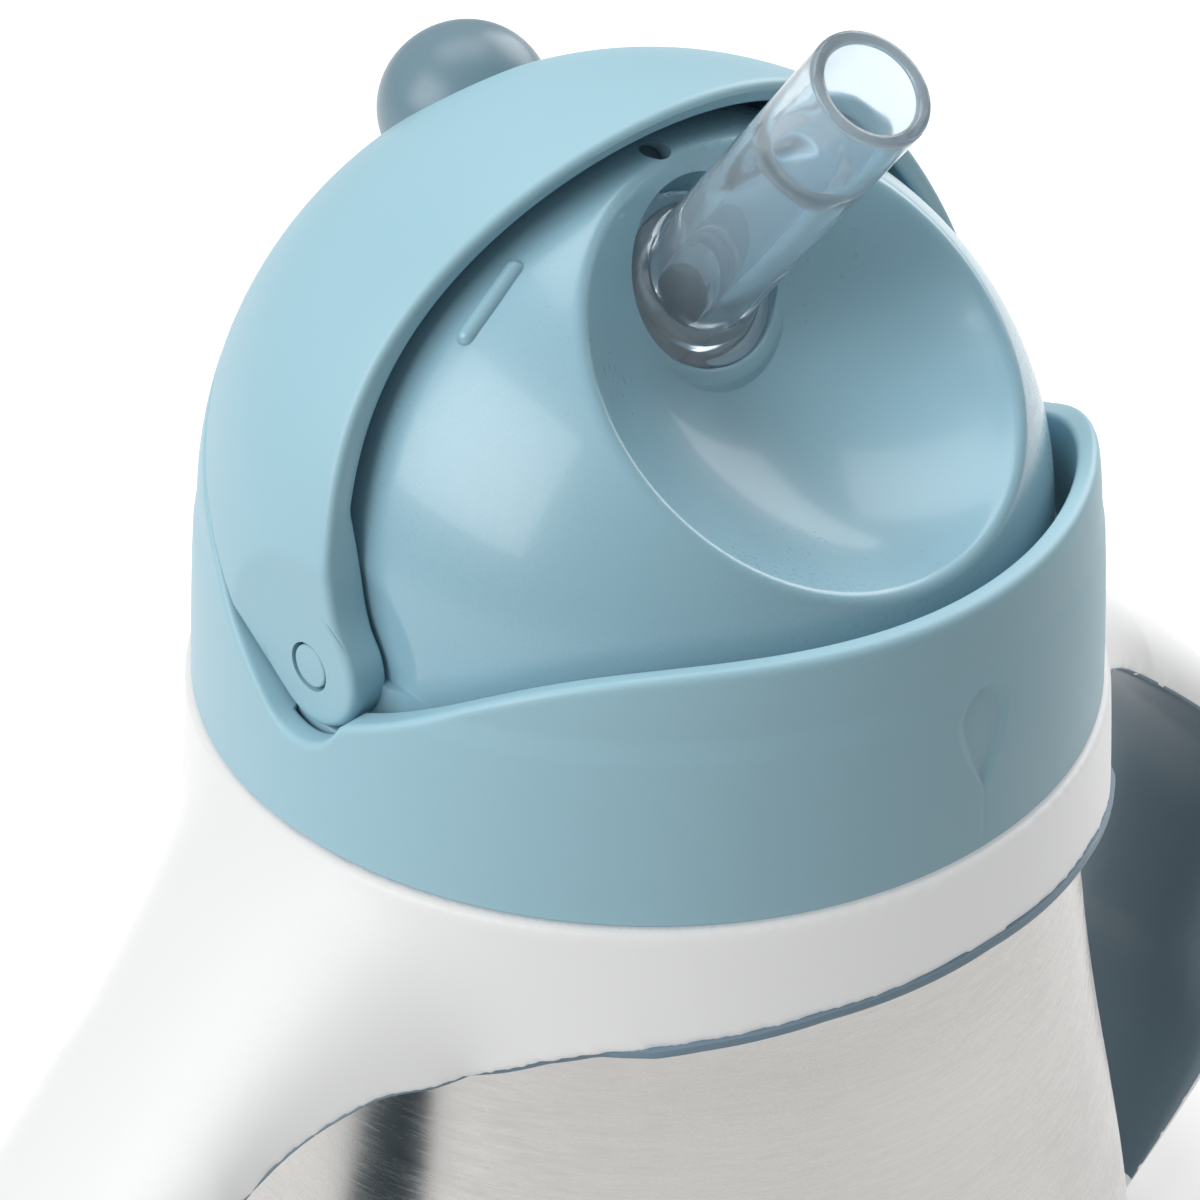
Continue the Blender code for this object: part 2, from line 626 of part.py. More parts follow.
def make_straw():
    length = STRAW_ABOVE_FOLD
    outside = [(MOUTH_BORE, length), (STRAW_RADIUS - 0.5 * MM, length), (STRAW_RADIUS, length - 0.5 * MM)]
    outside += arc((0, 0), STRAW_RADIUS, 0, -56, 5)
    inside = [(STRAW_BORE, -3.6 * MM), (STRAW_BORE, length - MOUTH_BORE_DEPTH - 1 * MM)]
    inside += [(MOUTH_BORE, length - MOUTH_BORE_DEPTH)]
    spout = turned("straw_spout", outside + inside, FOLD, TO_STRAW, steps=32)
    part(spout, material("straw_silicone", CLEAR, 0.3, transmission=0.6))

    start = (HOLE.y, HOLE.z)
    bend = bezier(
        (start, (HOLE.y + 4.4 * MM, HOLE.z - 5.6 * MM), (0, PIVOT_Z + 13 * MM), (0, PIVOT_Z + 8 * MM)), 10
    )
    middle = [(0, y, z) for y, z in bend]
    elbow = pipe("straw_elbow", middle + [(0, 0, ELBOW_END_Z)], STRAW_RADIUS)
    boolean(elbow, rod("elbow_flange", FLANGE_RADIUS, along_straw(-FLANGE_DEPTH), along_straw(0)), "UNION")
    bore = [along_straw(3 * MM)] + middle + [(0, 0, ELBOW_END_Z - 3 * MM)]
    boolean(elbow, pipe("elbow_bore", bore, STRAW_BORE))
    part(elbow, material("elbow_silicone", CLEAR, 0.35, transmission=0.6))

    ring_top = ELBOW_END_Z - 0.3 * MM
    ring_low = TUBE_TOP_Z + 0.3 * MM
    barb = [(1.8 * MM, ELBOW_END_Z + 5 * MM), (2.15 * MM, ELBOW_END_Z + 2.5 * MM)]
    barb += [(1.9 * MM, ELBOW_END_Z + 2.2 * MM), (1.9 * MM, ring_top), (3.6 * MM, ring_top)]
    barb += [(3.6 * MM, ring_low), (1.9 * MM, ring_low), (1.9 * MM, TUBE_TOP_Z - 2.2 * MM)]
    barb += [(2.15 * MM, TUBE_TOP_Z - 2.5 * MM), (1.8 * MM, TUBE_TOP_Z - 5 * MM)]
    barb += [(1.3 * MM, TUBE_TOP_Z - 5 * MM), (1.3 * MM, ELBOW_END_Z + 5 * MM)]
    part(turned("straw_connector", barb, steps=24), material("connector_plastic", WHITE, 0.3))

    wall = [(TUBE_RADIUS, TUBE_TOP_Z), (TUBE_RADIUS, TUBE_END_Z)]
    wall += [(STRAW_BORE, TUBE_END_Z), (STRAW_BORE, TUBE_TOP_Z)]
    tube = turned("straw_tube", wall, steps=24)
    slant = [(-FAR, -FAR), (FAR, -FAR), (FAR, FAR * 0.5), (-FAR, -FAR * 0.5)]
    boolean(tube, prism("slanted_end", slant, FAR, TUBE_END_Z + 1.8 * MM))
    part(tube, material("tube_silicone", CLEAR, 0.35, transmission=0.6))


make_cup()
make_handles()
make_collar()
make_dome()
make_cover()
make_straw()
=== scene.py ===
"""Looks for the straw cup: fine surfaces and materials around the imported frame, and a plain studio."""

import json
import math

import bmesh
import bpy
import numpy as np
from mathutils import Matrix, Vector


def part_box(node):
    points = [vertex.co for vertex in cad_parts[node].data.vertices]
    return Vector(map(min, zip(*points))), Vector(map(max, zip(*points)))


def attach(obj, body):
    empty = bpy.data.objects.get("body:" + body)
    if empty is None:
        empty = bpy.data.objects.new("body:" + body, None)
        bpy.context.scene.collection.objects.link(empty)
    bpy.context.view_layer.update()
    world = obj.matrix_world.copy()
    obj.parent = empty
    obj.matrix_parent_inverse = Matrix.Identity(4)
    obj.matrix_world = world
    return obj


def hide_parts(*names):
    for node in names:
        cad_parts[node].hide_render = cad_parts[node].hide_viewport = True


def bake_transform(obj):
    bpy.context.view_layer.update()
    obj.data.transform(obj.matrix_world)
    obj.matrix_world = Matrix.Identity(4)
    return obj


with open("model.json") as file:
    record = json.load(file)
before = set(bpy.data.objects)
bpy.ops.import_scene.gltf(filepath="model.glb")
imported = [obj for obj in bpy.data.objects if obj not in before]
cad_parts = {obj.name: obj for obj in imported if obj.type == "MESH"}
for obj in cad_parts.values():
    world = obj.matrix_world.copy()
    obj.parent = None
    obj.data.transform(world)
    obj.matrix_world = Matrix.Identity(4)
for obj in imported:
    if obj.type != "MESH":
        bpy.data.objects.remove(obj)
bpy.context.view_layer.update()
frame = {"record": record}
MM = 0.001

# ---------------------------------------------------------------- places read from the frame

JOINTS = {joint["name"]: joint for joint in frame["record"]["behaviour"]["joints"]}
PIVOT = Vector(JOINTS["cover_turn"]["pos_m"])
FOLD = Vector(JOINTS["straw_fold"]["pos_m"])
CLOSING_ANGLE = math.radians(JOINTS["cover_turn"]["range_deg"][1])
SEAT_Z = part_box("collar")[0][2]
UP = SEAT_Z - PIVOT.z

# Shapes about the pivot, in millimetres, as the frame has them
COVER_R = 32.8
COVER_IN = 31.0
DOME_R = 29.4
ARM_R = 4.6
SEAM_GAP = 0.35
REAR_SLOPE = math.radians(37.2)
SEAM = ((-33, 6.6), (-18, 8), (-15, 2.2), (-4.5, -2))
ARM_FACE = 31.7
ARM_INNER = 28.6
HOLE_TILT = math.radians(51.9)
STRAW_AXIS = Vector((0, -math.cos(HOLE_TILT), math.sin(HOLE_TILT)))
HOLE = FOLD - STRAW_AXIS * 4.65 * MM
RIM_TILT = math.radians(38)
RIM_AXIS = Vector((0, -math.cos(RIM_TILT), math.sin(RIM_TILT)))
TO_RIM = RIM_AXIS.to_track_quat("Z", "X").to_matrix()
TO_STRAW = STRAW_AXIS.to_track_quat("Z", "X").to_matrix()
DISH_TILT = math.radians(49.4)
DISH_AXIS = Vector((0, -math.cos(DISH_TILT), math.sin(DISH_TILT)))
TO_DISH = DISH_AXIS.to_track_quat("Z", "X").to_matrix()


# ---------------------------------------------------------------- mesh helpers


def round_angles(steps):
    return np.linspace(0, 2 * math.pi, steps, endpoint=False)


class Skin:
    """Gathers grids of points, in millimetres, into one mesh."""

    def __init__(self):
        self.points = []
        self.faces = []
        self.count = 0

    def grid(self, points, wrap=False, flip=False):
        """A sheet of quads over rows and columns of points. wrap joins the last column to the first."""
        points = np.asarray(points, float)
        rows, columns = points.shape[:2]
        index = self.count + np.arange(rows * columns).reshape(rows, columns)
        if wrap:
            index = np.concatenate([index, index[:, :1]], 1)
        quads = np.stack([index[:-1, :-1], index[:-1, 1:], index[1:, 1:], index[1:, :-1]], -1).reshape(-1, 4)
        if flip:
            quads = quads[:, ::-1]
        self.points.append(points.reshape(-1, 3))
        self.faces += quads.tolist()
        self.count += rows * columns

    def build(self, name, origin=(0, 0, 0), turn=None, sharp=38, weld=1e-6):
        verts = np.concatenate(self.points) * MM
        if turn is not None:
            verts = verts @ np.array(turn.to_3x3()).T
        verts = verts + np.array(origin)
        mesh = bpy.data.meshes.new(name)
        mesh.from_pydata(verts.tolist(), [], self.faces)
        shape = bmesh.new()
        shape.from_mesh(mesh)
        bmesh.ops.remove_doubles(shape, verts=shape.verts, dist=weld)
        bmesh.ops.dissolve_degenerate(shape, edges=shape.edges, dist=weld)
        bmesh.ops.recalc_face_normals(shape, faces=shape.faces)
        shape.to_mesh(mesh)
        shape.free()
        obj = bpy.data.objects.new(name, mesh)
        bpy.context.scene.collection.objects.link(obj)
        smooth(obj, sharp)
        return obj


def smooth(obj, sharp=38):
    obj.data.shade_smooth()
    obj.data.set_sharp_from_angle(angle=math.radians(sharp))


def fillet(points, radii, steps=5, closed=True):
    """A line of (r, z) points with its corners rounded. radii is one number or one for each point."""
    points = [np.array(point, float) for point in points]
    count = len(points)
    if not hasattr(radii, "__len__"):
        radii = [radii] * count
    found = []
    for index, corner in enumerate(points):
        if radii[index] <= 0 or (not closed and index in (0, count - 1)):
            found.append(corner)
            continue
        before = points[index - 1] - corner
        after = points[(index + 1) % count] - corner
        reach = min(radii[index], 0.45 * np.linalg.norm(before), 0.45 * np.linalg.norm(after))
        start = corner + before / np.linalg.norm(before) * reach
        end = corner + after / np.linalg.norm(after) * reach
        for t in np.linspace(0, 1, steps + 1):
            found.append((1 - t) ** 2 * start + 2 * t * (1 - t) * corner + t**2 * end)
    return np.array(found)


def arc(centre, radius, first, last, steps):
    angles = np.radians(np.linspace(first, last, steps + 1))
    return np.stack([centre[0] + radius * np.cos(angles), centre[1] + radius * np.sin(angles)], 1)


def lathe(skin, profile, steps=160, closed=True):
    """Turns (r, z) points about Z."""
    profile = np.asarray(profile, float)
    if closed:
        profile = np.concatenate([profile, profile[:1]])
    angles = round_angles(steps)
    r = profile[:, :1]
    z = np.repeat(profile[:, 1:], steps, 1)
    skin.grid(np.stack([r * np.cos(angles), r * np.sin(angles), z], -1), wrap=True)


def turned(name, profile, origin=(0, 0, 0), turn=None, steps=160, closed=True, sharp=38):
    skin = Skin()
    lathe(skin, profile, steps, closed)
    return skin.build(name, origin, turn, sharp)


def carve(obj, tool, operation="DIFFERENCE"):
    """Applies a Boolean with a tool, and removes the tool."""
    step = obj.modifiers.new("cut", "BOOLEAN")
    step.operation = operation
    step.object = tool
    step.solver = "EXACT"
    apply(obj)
    bpy.data.objects.remove(tool)
    return obj


def apply(obj):
    """The mesh as its modifiers leave it, in their place."""
    bpy.context.view_layer.update()
    graph = bpy.context.evaluated_depsgraph_get()
    mesh = bpy.data.meshes.new_from_object(obj.evaluated_get(graph))
    obj.modifiers.clear()
    obj.data = mesh


def smooth_line(rows, steps):
    """Rows of numbers read off evenly along a smooth line through them."""
    rows = np.asarray(rows, float)
    last = len(rows) - 1
    place = np.minimum(np.linspace(0, last, steps + 1), last - 1e-9)
    index = place.astype(int)
    t = (place - index)[:, None]
    a, b, c, d = (rows[np.clip(index + offset, 0, last)] for offset in (-1, 0, 1, 2))
    return b + 0.5 * t * ((c - a) + t * ((2 * a - 5 * b + 4 * c - d) + t * (3 * b - a - 3 * c + d)))


# ---------------------------------------------------------------- materials


def nodes_of(name):
    made = bpy.data.materials.new(name)
    made.use_nodes = True
    tree = made.node_tree
    return made, tree, tree.nodes["Principled BSDF"]


def add(tree, kind, **inputs):
    node = tree.nodes.new(kind)
    for name, value in inputs.items():
        setattr(node, name, value)
    return node


def noise(tree, vector, scale, detail=3.0, roughness=0.55):
    node = tree.nodes.new("ShaderNodeTexNoise")
    node.inputs["Scale"].default_value = scale
    node.inputs["Detail"].default_value = detail
    node.inputs["Roughness"].default_value = roughness
    tree.links.new(vector, node.inputs["Vector"])
    return node.outputs["Fac"]


def spread(tree, value, low, high, start=0.3, end=0.7):
    """Maps a noise value to a range."""
    node = tree.nodes.new("ShaderNodeMapRange")
    node.inputs["From Min"].default_value = start
    node.inputs["From Max"].default_value = end
    node.inputs["To Min"].default_value = low
    node.inputs["To Max"].default_value = high
    tree.links.new(value, node.inputs["Value"])
    return node.outputs["Result"]


def tinted(tree, value, dark, light):
    node = tree.nodes.new("ShaderNodeMix")
    node.data_type = "RGBA"
    node.inputs[6].default_value = (*dark, 1)
    node.inputs[7].default_value = (*light, 1)
    tree.links.new(value, node.inputs[0])
    return node.outputs[2]


def bump(tree, shader, height, distance, strength=1.0):
    node = tree.nodes.new("ShaderNodeBump")
    node.inputs["Distance"].default_value = distance
    node.inputs["Strength"].default_value = strength
    tree.links.new(height, node.inputs["Height"])
    tree.links.new(node.outputs["Normal"], shader.inputs["Normal"])
    return node


def shades(colour, amount):
    return tuple(c * (1 - amount) for c in colour), tuple(min(c * (1 + amount), 1) for c in colour)


def moulded(name, colour, roughness, grain=0.25, depth=0.004, coat=0.0, soft=0.0, sheen=0.0, vary=0.02,
             glow=0.0):
    """Moulded plastic or soft rubber. grain and depth are its surface texture's size and height, in mm."""
    made, tree, shader = nodes_of(name)
    place = add(tree, "ShaderNodeTexCoord").outputs["Object"]
    broad = noise(tree, place, 45, 2)
    fine = noise(tree, place, 1000 / grain, 2, 0.6)
    tree.links.new(tinted(tree, broad, *shades(colour, vary)), shader.inputs["Base Color"])
    mixed = add(tree, "ShaderNodeMath", operation="ADD")
    tree.links.new(spread(tree, broad, -0.035, 0.035), mixed.inputs[0])
    tree.links.new(spread(tree, fine, roughness - 0.03, roughness + 0.03), mixed.inputs[1])
    tree.links.new(mixed.outputs[0], shader.inputs["Roughness"])
    bump(tree, shader, fine, depth * MM)
    shader.inputs["IOR"].default_value = 1.5
    shader.inputs["Coat Weight"].default_value = coat
    shader.inputs["Coat Roughness"].default_value = 0.08
    if soft:
        shader.inputs["Subsurface Weight"].default_value = soft
        shader.inputs["Subsurface Scale"].default_value = 1.2 * MM
        shader.inputs["Subsurface Radius"].default_value = (1, 1, 1)
    if glow:  # lifts the shaded sides of white plastic; not a physical property of it
        shader.inputs["Emission Color"].default_value = (1, 1, 1, 1)
        shader.inputs["Emission Strength"].default_value = glow
    if sheen:
        shader.inputs["Sheen Weight"].default_value = sheen
        shader.inputs["Sheen Roughness"].default_value = 0.5
    return made


def brushed(name, colour, roughness, depth=0.006):
    """Steel brushed round Z: streaks a few millimetres long round the cup and fine down it."""
    made, tree, shader = nodes_of(name)
    place = add(tree, "ShaderNodeTexCoord").outputs["Object"]
    parts = add(tree, "ShaderNodeSeparateXYZ")
    tree.links.new(place, parts.inputs[0])
    angle = add(tree, "ShaderNodeMath", operation="ARCTAN2")
    tree.links.new(parts.outputs["Y"], angle.inputs[0])
    tree.links.new(parts.outputs["X"], angle.inputs[1])
    total = None
    for index, (around_it, down_it, share) in enumerate(((9, 2600, 0.45), (26, 6500, 0.3), (3, 900, 0.25))):
        together = add(tree, "ShaderNodeCombineXYZ")
        together.inputs[2].default_value = 7.3 * index
        for slot, source, scale in ((0, angle.outputs[0], around_it), (1, parts.outputs["Z"], down_it)):
            scaled = add(tree, "ShaderNodeMath", operation="MULTIPLY")
            scaled.inputs[1].default_value = scale
            tree.links.new(source, scaled.inputs[0])
            tree.links.new(scaled.outputs[0], together.inputs[slot])
        streak = noise(tree, together.outputs[0], 1.0, 3, 0.65)
        layer = add(tree, "ShaderNodeMath", operation="MULTIPLY_ADD")
        layer.inputs[1].default_value = share
        layer.inputs[2].default_value = 0
        tree.links.new(streak, layer.inputs[0])
        if total is not None:
            tree.links.new(total, layer.inputs[2])
        total = layer.outputs[0]
    cloud = noise(tree, place, 70, 3)
    mixed = add(tree, "ShaderNodeMath", operation="MULTIPLY_ADD")
    mixed.inputs[1].default_value = 0.45
    tree.links.new(cloud, mixed.inputs[0])
    tree.links.new(total, mixed.inputs[2])
    tree.links.new(tinted(tree, spread(tree, mixed.outputs[0], 0, 1, 0.55, 0.9), *shades(colour, 0.15)),
                   shader.inputs["Base Color"])
    tree.links.new(spread(tree, mixed.outputs[0], roughness - 0.06, roughness + 0.08, 0.55, 0.9),
                   shader.inputs["Roughness"])
    bump(tree, shader, total, depth * MM)
    shader.inputs["Metallic"].default_value = 1.0
    shader.inputs["Anisotropic"].default_value = 0.8
    shader.inputs["Anisotropic Rotation"].default_value = 0.25
    tangent = add(tree, "ShaderNodeTangent", direction_type="RADIAL", axis="Z")
    tree.links.new(tangent.outputs[0], shader.inputs["Tangent"])
    return made


def clear_silicone(name, colour, roughness, grain=0.8):
    made, tree, shader = nodes_of(name)
    place = add(tree, "ShaderNodeTexCoord").outputs["Object"]
    broad = noise(tree, place, 220, 2)
    fine = noise(tree, place, 1000 / grain, 2)
    tree.links.new(tinted(tree, broad, *shades(colour, 0.012)), shader.inputs["Base Color"])
    tree.links.new(spread(tree, fine, roughness * 0.6, roughness * 1.4), shader.inputs["Roughness"])
    bump(tree, shader, broad, 0.03 * MM)
    shader.inputs["Transmission Weight"].default_value = 0.87
    shader.inputs["IOR"].default_value = 1.41
    return made


LID = (0.315, 0.520, 0.605)
LID_MATTE = moulded("lid_matte", LID, 0.44, grain=0.16, depth=0.004)
COVER_MATTE = moulded("cover_matte", LID, 0.46, grain=0.16, depth=0.004)
DOME_GLOSS = moulded("dome_gloss", (0.265, 0.455, 0.545), 0.30, grain=0.6, depth=0.0002, coat=0.22)
KNOB_SATIN = moulded("knob_satin", (0.145, 0.235, 0.285), 0.33, grain=0.4, depth=0.0008)
WHITE_GLOSS = moulded("white_gloss", (0.48, 0.485, 0.485), 0.45, grain=0.6, depth=0.0002, vary=0.006,
                      glow=0.30)
GRIP_SOFT = moulded("grip_rubber", (0.16, 0.245, 0.305), 0.42, grain=0.22, depth=0.006, sheen=0.12)
TRIM_SOFT = moulded("trim_rubber", (0.165, 0.25, 0.32), 0.45, grain=0.22, depth=0.005)
STEEL = brushed("brushed_wall", (0.50, 0.49, 0.475), 0.27)
STEEL_IN = brushed("polished_inside", (0.56, 0.555, 0.55), 0.18, depth=0.003)
STEEL_BASE = brushed("satin_base", (0.50, 0.49, 0.48), 0.32)
CLEAR = clear_silicone("clear_silicone", (0.80, 0.90, 0.96), 0.05)
MILKY = moulded("milky_silicone", (0.78, 0.82, 0.84), 0.35, grain=0.5, depth=0.004, soft=0.4)
# Painted shade: the vent valve is clear silicone, coloured near black here to stand for the shade inside its
# hole
VENT_PAINTED_SHADE = moulded("vent_painted_shade", (0.05, 0.09, 0.12), 0.5, grain=0.3, depth=0.004)
NATURAL = moulded("natural_plastic", (0.80, 0.81, 0.80), 0.3, grain=0.6, depth=0.003)


def finish(obj, material, body, *replaced, slot=None):
    """Gives a piece its material, its body and the CAD nodes that it stands for."""
    obj.data.materials.clear()
    obj.data.materials.append(material)
    if body:
        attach(obj, body)
    if replaced:
        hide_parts(*replaced)
    return obj


# ---------------------------------------------------------------- the steel cup


def above_seat(points):
    """(r, height above the seat) in millimetres as (r, z) from the ground."""
    return np.asarray(points, float) + (0, SEAT_Z / MM)


def inset(profile, wall):
    profile = np.asarray(profile, float)
    step = np.gradient(profile, axis=0)
    inward = np.stack([step[:, 1], -step[:, 0]], 1)
    return profile + inward / np.linalg.norm(inward, axis=1, keepdims=True) * wall


def even(points, spacing):
    """The same line with points at about even distances."""
    points = np.asarray(points, float)
    along = np.concatenate([[0], np.cumsum(np.linalg.norm(np.diff(points, axis=0), axis=1))])
    count = max(int(along[-1] / spacing), 2)
    at = np.linspace(0, along[-1], count + 1)
    return np.stack([np.interp(at, along, points[:, axis]) for axis in range(points.shape[1])], 1)


def make_cup():
    neck = fillet([(30.2, 5.4), (30.2, -2.3), (31.0, -3.0), (31.6, -4.6), (32.0, -8)], 0.8, closed=False)
    belly = [(32.0, -8), (32.7, -13), (33.5, -17.7), (34.8, -26), (36.3, -34), (38.0, -42), (39.6, -50)]
    belly += [(41.0, -59), (41.8, -67), (41.9, -73)]
    belly = smooth_line(belly, 90)
    heel = arc((34.5, -75.9), 7.4, 8, -90, 14)
    outside = above_seat(np.concatenate([neck[:-1], belly[:-3], heel]))
    profile = np.concatenate([outside, inset(outside, 0.7)[::-1]])
    shell = turned("steel_wall", profile, steps=200)
    finish(shell, STEEL, "cup", "outer_shell", slot="brushed_steel")

    vessel = [(29.2, -4), (29.0, -9), (30.2, -20), (32.2, -32), (35.0, -45), (37.2, -57), (37.9, -66)]
    vessel = smooth_line(vessel, 50)
    vessel = np.concatenate([[(29.2, 5.2)], vessel, arc((29.9, -70.5), 8, 0, -90, 10)[1:]])
    vessel = above_seat(vessel)
    inner = inset(vessel, 0.7)
    lip = fillet([inner[0], vessel[0]], 0, closed=False)
    floor = np.concatenate([[(0, inner[-1][1])], inner[::-1], lip[1:], vessel[1:], [(0, vessel[-1][1])]])
    finish(turned("steel_inside", floor, closed=False, steps=160), STEEL_IN, "cup", "inner_vessel",
           slot="inner_steel")

    rolled = fillet([(30.2, 5.15), (30.2, 5.75), (28.5, 5.75), (28.5, 5.15)], 0.5)
    finish(turned("rolled_mouth", above_seat(rolled), steps=160), STEEL_IN, "cup", slot="inner_steel")

    edge = fillet([(0, 0.9), (34.0, 0.9), (34.2, 0.7), (33.8, 0.0), (27, 0.0), (26.2, 0.35), (0, 0.35)],
                  [0, 0.2, 0.2, 0.5, 0.5, 0.5, 0], closed=False)
    finish(turned("base_disc", edge, closed=False, steps=160), STEEL_BASE, "cup", "base_plate",
           slot="base_steel")

    # The neck's thread: one low ridge that winds up to the mouth and fades out at both ends
    turns = 1.6
    steps = 300
    along = np.linspace(0, 1, steps)
    angle = along * turns * 2 * math.pi
    fade = np.clip(np.minimum(along, 1 - along) * 14, 0, 1)
    height = SEAT_Z / MM - 0.3 + along * 4.2
    section = [(-0.3, -0.75), (0.95, -0.3), (0.95, 0.3), (-0.3, 0.75)]
    rows = []
    for out, rise in fillet(section, 0.25, 3):
        r = 30.2 + out * fade - 0.05
        rows.append(np.stack([r * np.cos(angle), r * np.sin(angle), height + rise * (0.3 + 0.7 * fade)], -1))
    rows.append(rows[0])
    skin = Skin()
    skin.grid(np.array(rows))
    finish(skin.build("neck_thread"), STEEL_IN, "cup", slot="brushed_steel")


# ---------------------------------------------------------------- the ring and its handles

HANDLE_ROWS = (
    (28.0, -0.8, 28.0, -13.0, 17.6),
    (34.6, -1.0, 33.6, -14.0, 15.6),
    (42.5, -8.0, 38.8, -14.6, 13.0),
    (50.0, -15.3, 46.4, -19.3, 10.4),
    (63.2, -27.5, 59.8, -31.1, 9.5),
    (71.4, -38.8, 66.9, -40.8, 9.5),
    (74.1, -48.6, 69.2, -48.6, 9.5),
    (72.4, -59.5, 67.7, -58.2, 9.8),
    (67.0, -71.5, 63.4, -68.2, 11.0),
    (49.5, -80.0, 49.0, -76.6, 13.0),
)
RING_EDGE = ((0, -7.7), (13.2, -8.2), (20.7, -9.2), (25.7, -10.2), (28.0, -11.3), (29.6, -12.6),
             (30.8, -13.45), (33.5, -14.1), (60, -14.2))


def half_round(row, power=2.4, steps=28):
    """A section that is flat inside and rounded outside, from crown point, inner point and half width."""
    crown_x, crown_z, inner_x, inner_z, half_width = row
    angle = np.linspace(0, math.pi, steps + 1)
    across = np.sign(np.cos(angle)) * np.abs(np.cos(angle)) ** (2 / power)
    rise = np.clip(np.sin(angle), 0, 1) ** (2 / power)
    rise[[0, -1]] = 0
    x = inner_x + (crown_x - inner_x) * rise
    z = inner_z + (crown_z - inner_z) * rise
    return np.stack([x, across * half_width, z + SEAT_Z / MM], -1)


def loft(skin, sections, side):
    sections = np.asarray(sections) * (side, 1, 1)
    skin.grid(sections, wrap=True)
    for section in (sections[0], sections[-1]):
        middle = section.mean(0)
        skin.grid(np.stack([section, np.repeat(middle[None], len(section), 0)]), wrap=True)


def ring_edge(x):
    return np.interp(np.abs(x), [x for x, _ in RING_EDGE], [z for _, z in RING_EDGE])


def ring_wall(name, outer, inner, top, lowered, steps=360):
    """A ring whose lower edge follows the edge line. outer and inner give r at a height."""
    angles = round_angles(steps)
    columns = []
    for angle in angles:
        x = abs(math.cos(angle)) * 34.5
        low = ring_edge(x) - lowered
        levels = np.linspace(top, low, 9)
        line = [(outer(z), z) for z in levels] + [(inner(z), z) for z in levels[::-1]]
        radii = [0.3] + [0] * 7 + [0.3] + [0.3] + [0] * 7 + [0.3]
        section = fillet(line, radii, 4)
        columns.append([(r * math.cos(angle), r * math.sin(angle), z + SEAT_Z / MM) for r, z in section])
    points = np.array(columns).transpose(1, 0, 2)
    skin = Skin()
    skin.grid(np.concatenate([points, points[:1]]), wrap=True)
    return skin.build(name)


def profile_of(pairs):
    heights = [z for z, _ in pairs]
    radii = [r for _, r in pairs]
    return lambda z: np.interp(z, heights, radii)


FOOT_RISE = 0.28
FOOT_DROP = 0.42
FOOT_PROUD = 0.2
FOOT_TUCKED = -0.6
FOOT_TUCK_FROM = 23.0
FOOT_TUCK_OVER = 3.0


def ring_foot(name, steps=360):
    """The soft edge under the white ring: a thin band along its lower edge, tucked in under the handles."""
    columns = []
    for angle in round_angles(steps):
        across = abs(math.cos(angle)) * 34.5
        level = ring_edge(across)
        proud = 1 - min(max((across - FOOT_TUCK_FROM) / FOOT_TUCK_OVER, 0), 1)
        out = WHITE_OUT(level) + FOOT_TUCKED + (FOOT_PROUD - FOOT_TUCKED) * proud
        top, low = level + FOOT_RISE, level - FOOT_DROP
        line = [(out - 0.8, top), (out, top), (out, low), (out - 2.2, low), (out - 2.2, top)]
        section = fillet(line, [0, 0.06, 0.2, 0.2, 0], 4)
        columns.append([(r * math.cos(angle), r * math.sin(angle), z + SEAT_Z / MM) for r, z in section])
    points = np.array(columns).transpose(1, 0, 2)
    skin = Skin()
    skin.grid(np.concatenate([points, points[:1]]), wrap=True)
    return skin.build(name)


WHITE_OUT = profile_of([(-24, 37.4), (-18, 36.6), (-13, 35.8), (-8, 35.2), (-2, 34.75), (-0.1, 34.5)])
WHITE_IN = profile_of([(-17.7, 34.85), (-13, 34.05), (-8, 33.3), (-0.3, 33.3)])
LINER_OUT = profile_of([(-17.7, 34.7), (-13, 33.9), (-8, 33.15), (-0.3, 33.15)])
LINER_IN = profile_of([(-17.7, 33.8), (-13, 33.05), (-8, 32.35), (-0.3, 32.35)])


def make_handles():
    shell = ring_wall("white_ring", WHITE_OUT, WHITE_IN, -0.05, 0.0)
    rows = smooth_line(HANDLE_ROWS, 70)
    for side in (-1, 1):
        skin = Skin()
        loft(skin, [half_round(row) for row in rows], side)
        carve(shell, skin.build("hard_handle"), "UNION")
    bore = above_seat([(0, 3), (33.3, 3), (33.3, -8), (34.05, -13), (34.85, -17.7), (36.3, -27), (0, -27)])
    carve(shell, turned("ring_bore", bore, closed=False, steps=200))
    remake_smooth(shell)
    finish(shell, WHITE_GLOSS, "handles", "handle_shell", slot="white_plastic")

    flange = fillet([(33.9, -0.3), (33.9, -2.0), (30.5, -2.0), (30.5, -0.3)], 0.2)
    finish(turned("ring_flange", above_seat(flange)), WHITE_GLOSS, "handles", slot="white_plastic")

    liner = ring_wall("soft_trim", LINER_OUT, LINER_IN, -2.3, 0.5)
    foot = ring_foot("trim_foot")
    finish(foot, TRIM_SOFT, "handles", slot="soft_liner")
    finish(liner, TRIM_SOFT, "handles", "ring_liner", slot="soft_liner")

    for side, name in ((-1, "left"), (1, "right")):
        grip = make_grip(name + "_soft_grip", rows, side)
        finish(grip, GRIP_SOFT, "handles", name + "_grip", slot="grip_soft")


def vertex_rows(obj, what):
    rows = np.empty(len(obj.data.vertices) * 3)
    obj.data.vertices.foreach_get(what, rows)
    return rows.reshape(-1, 3)


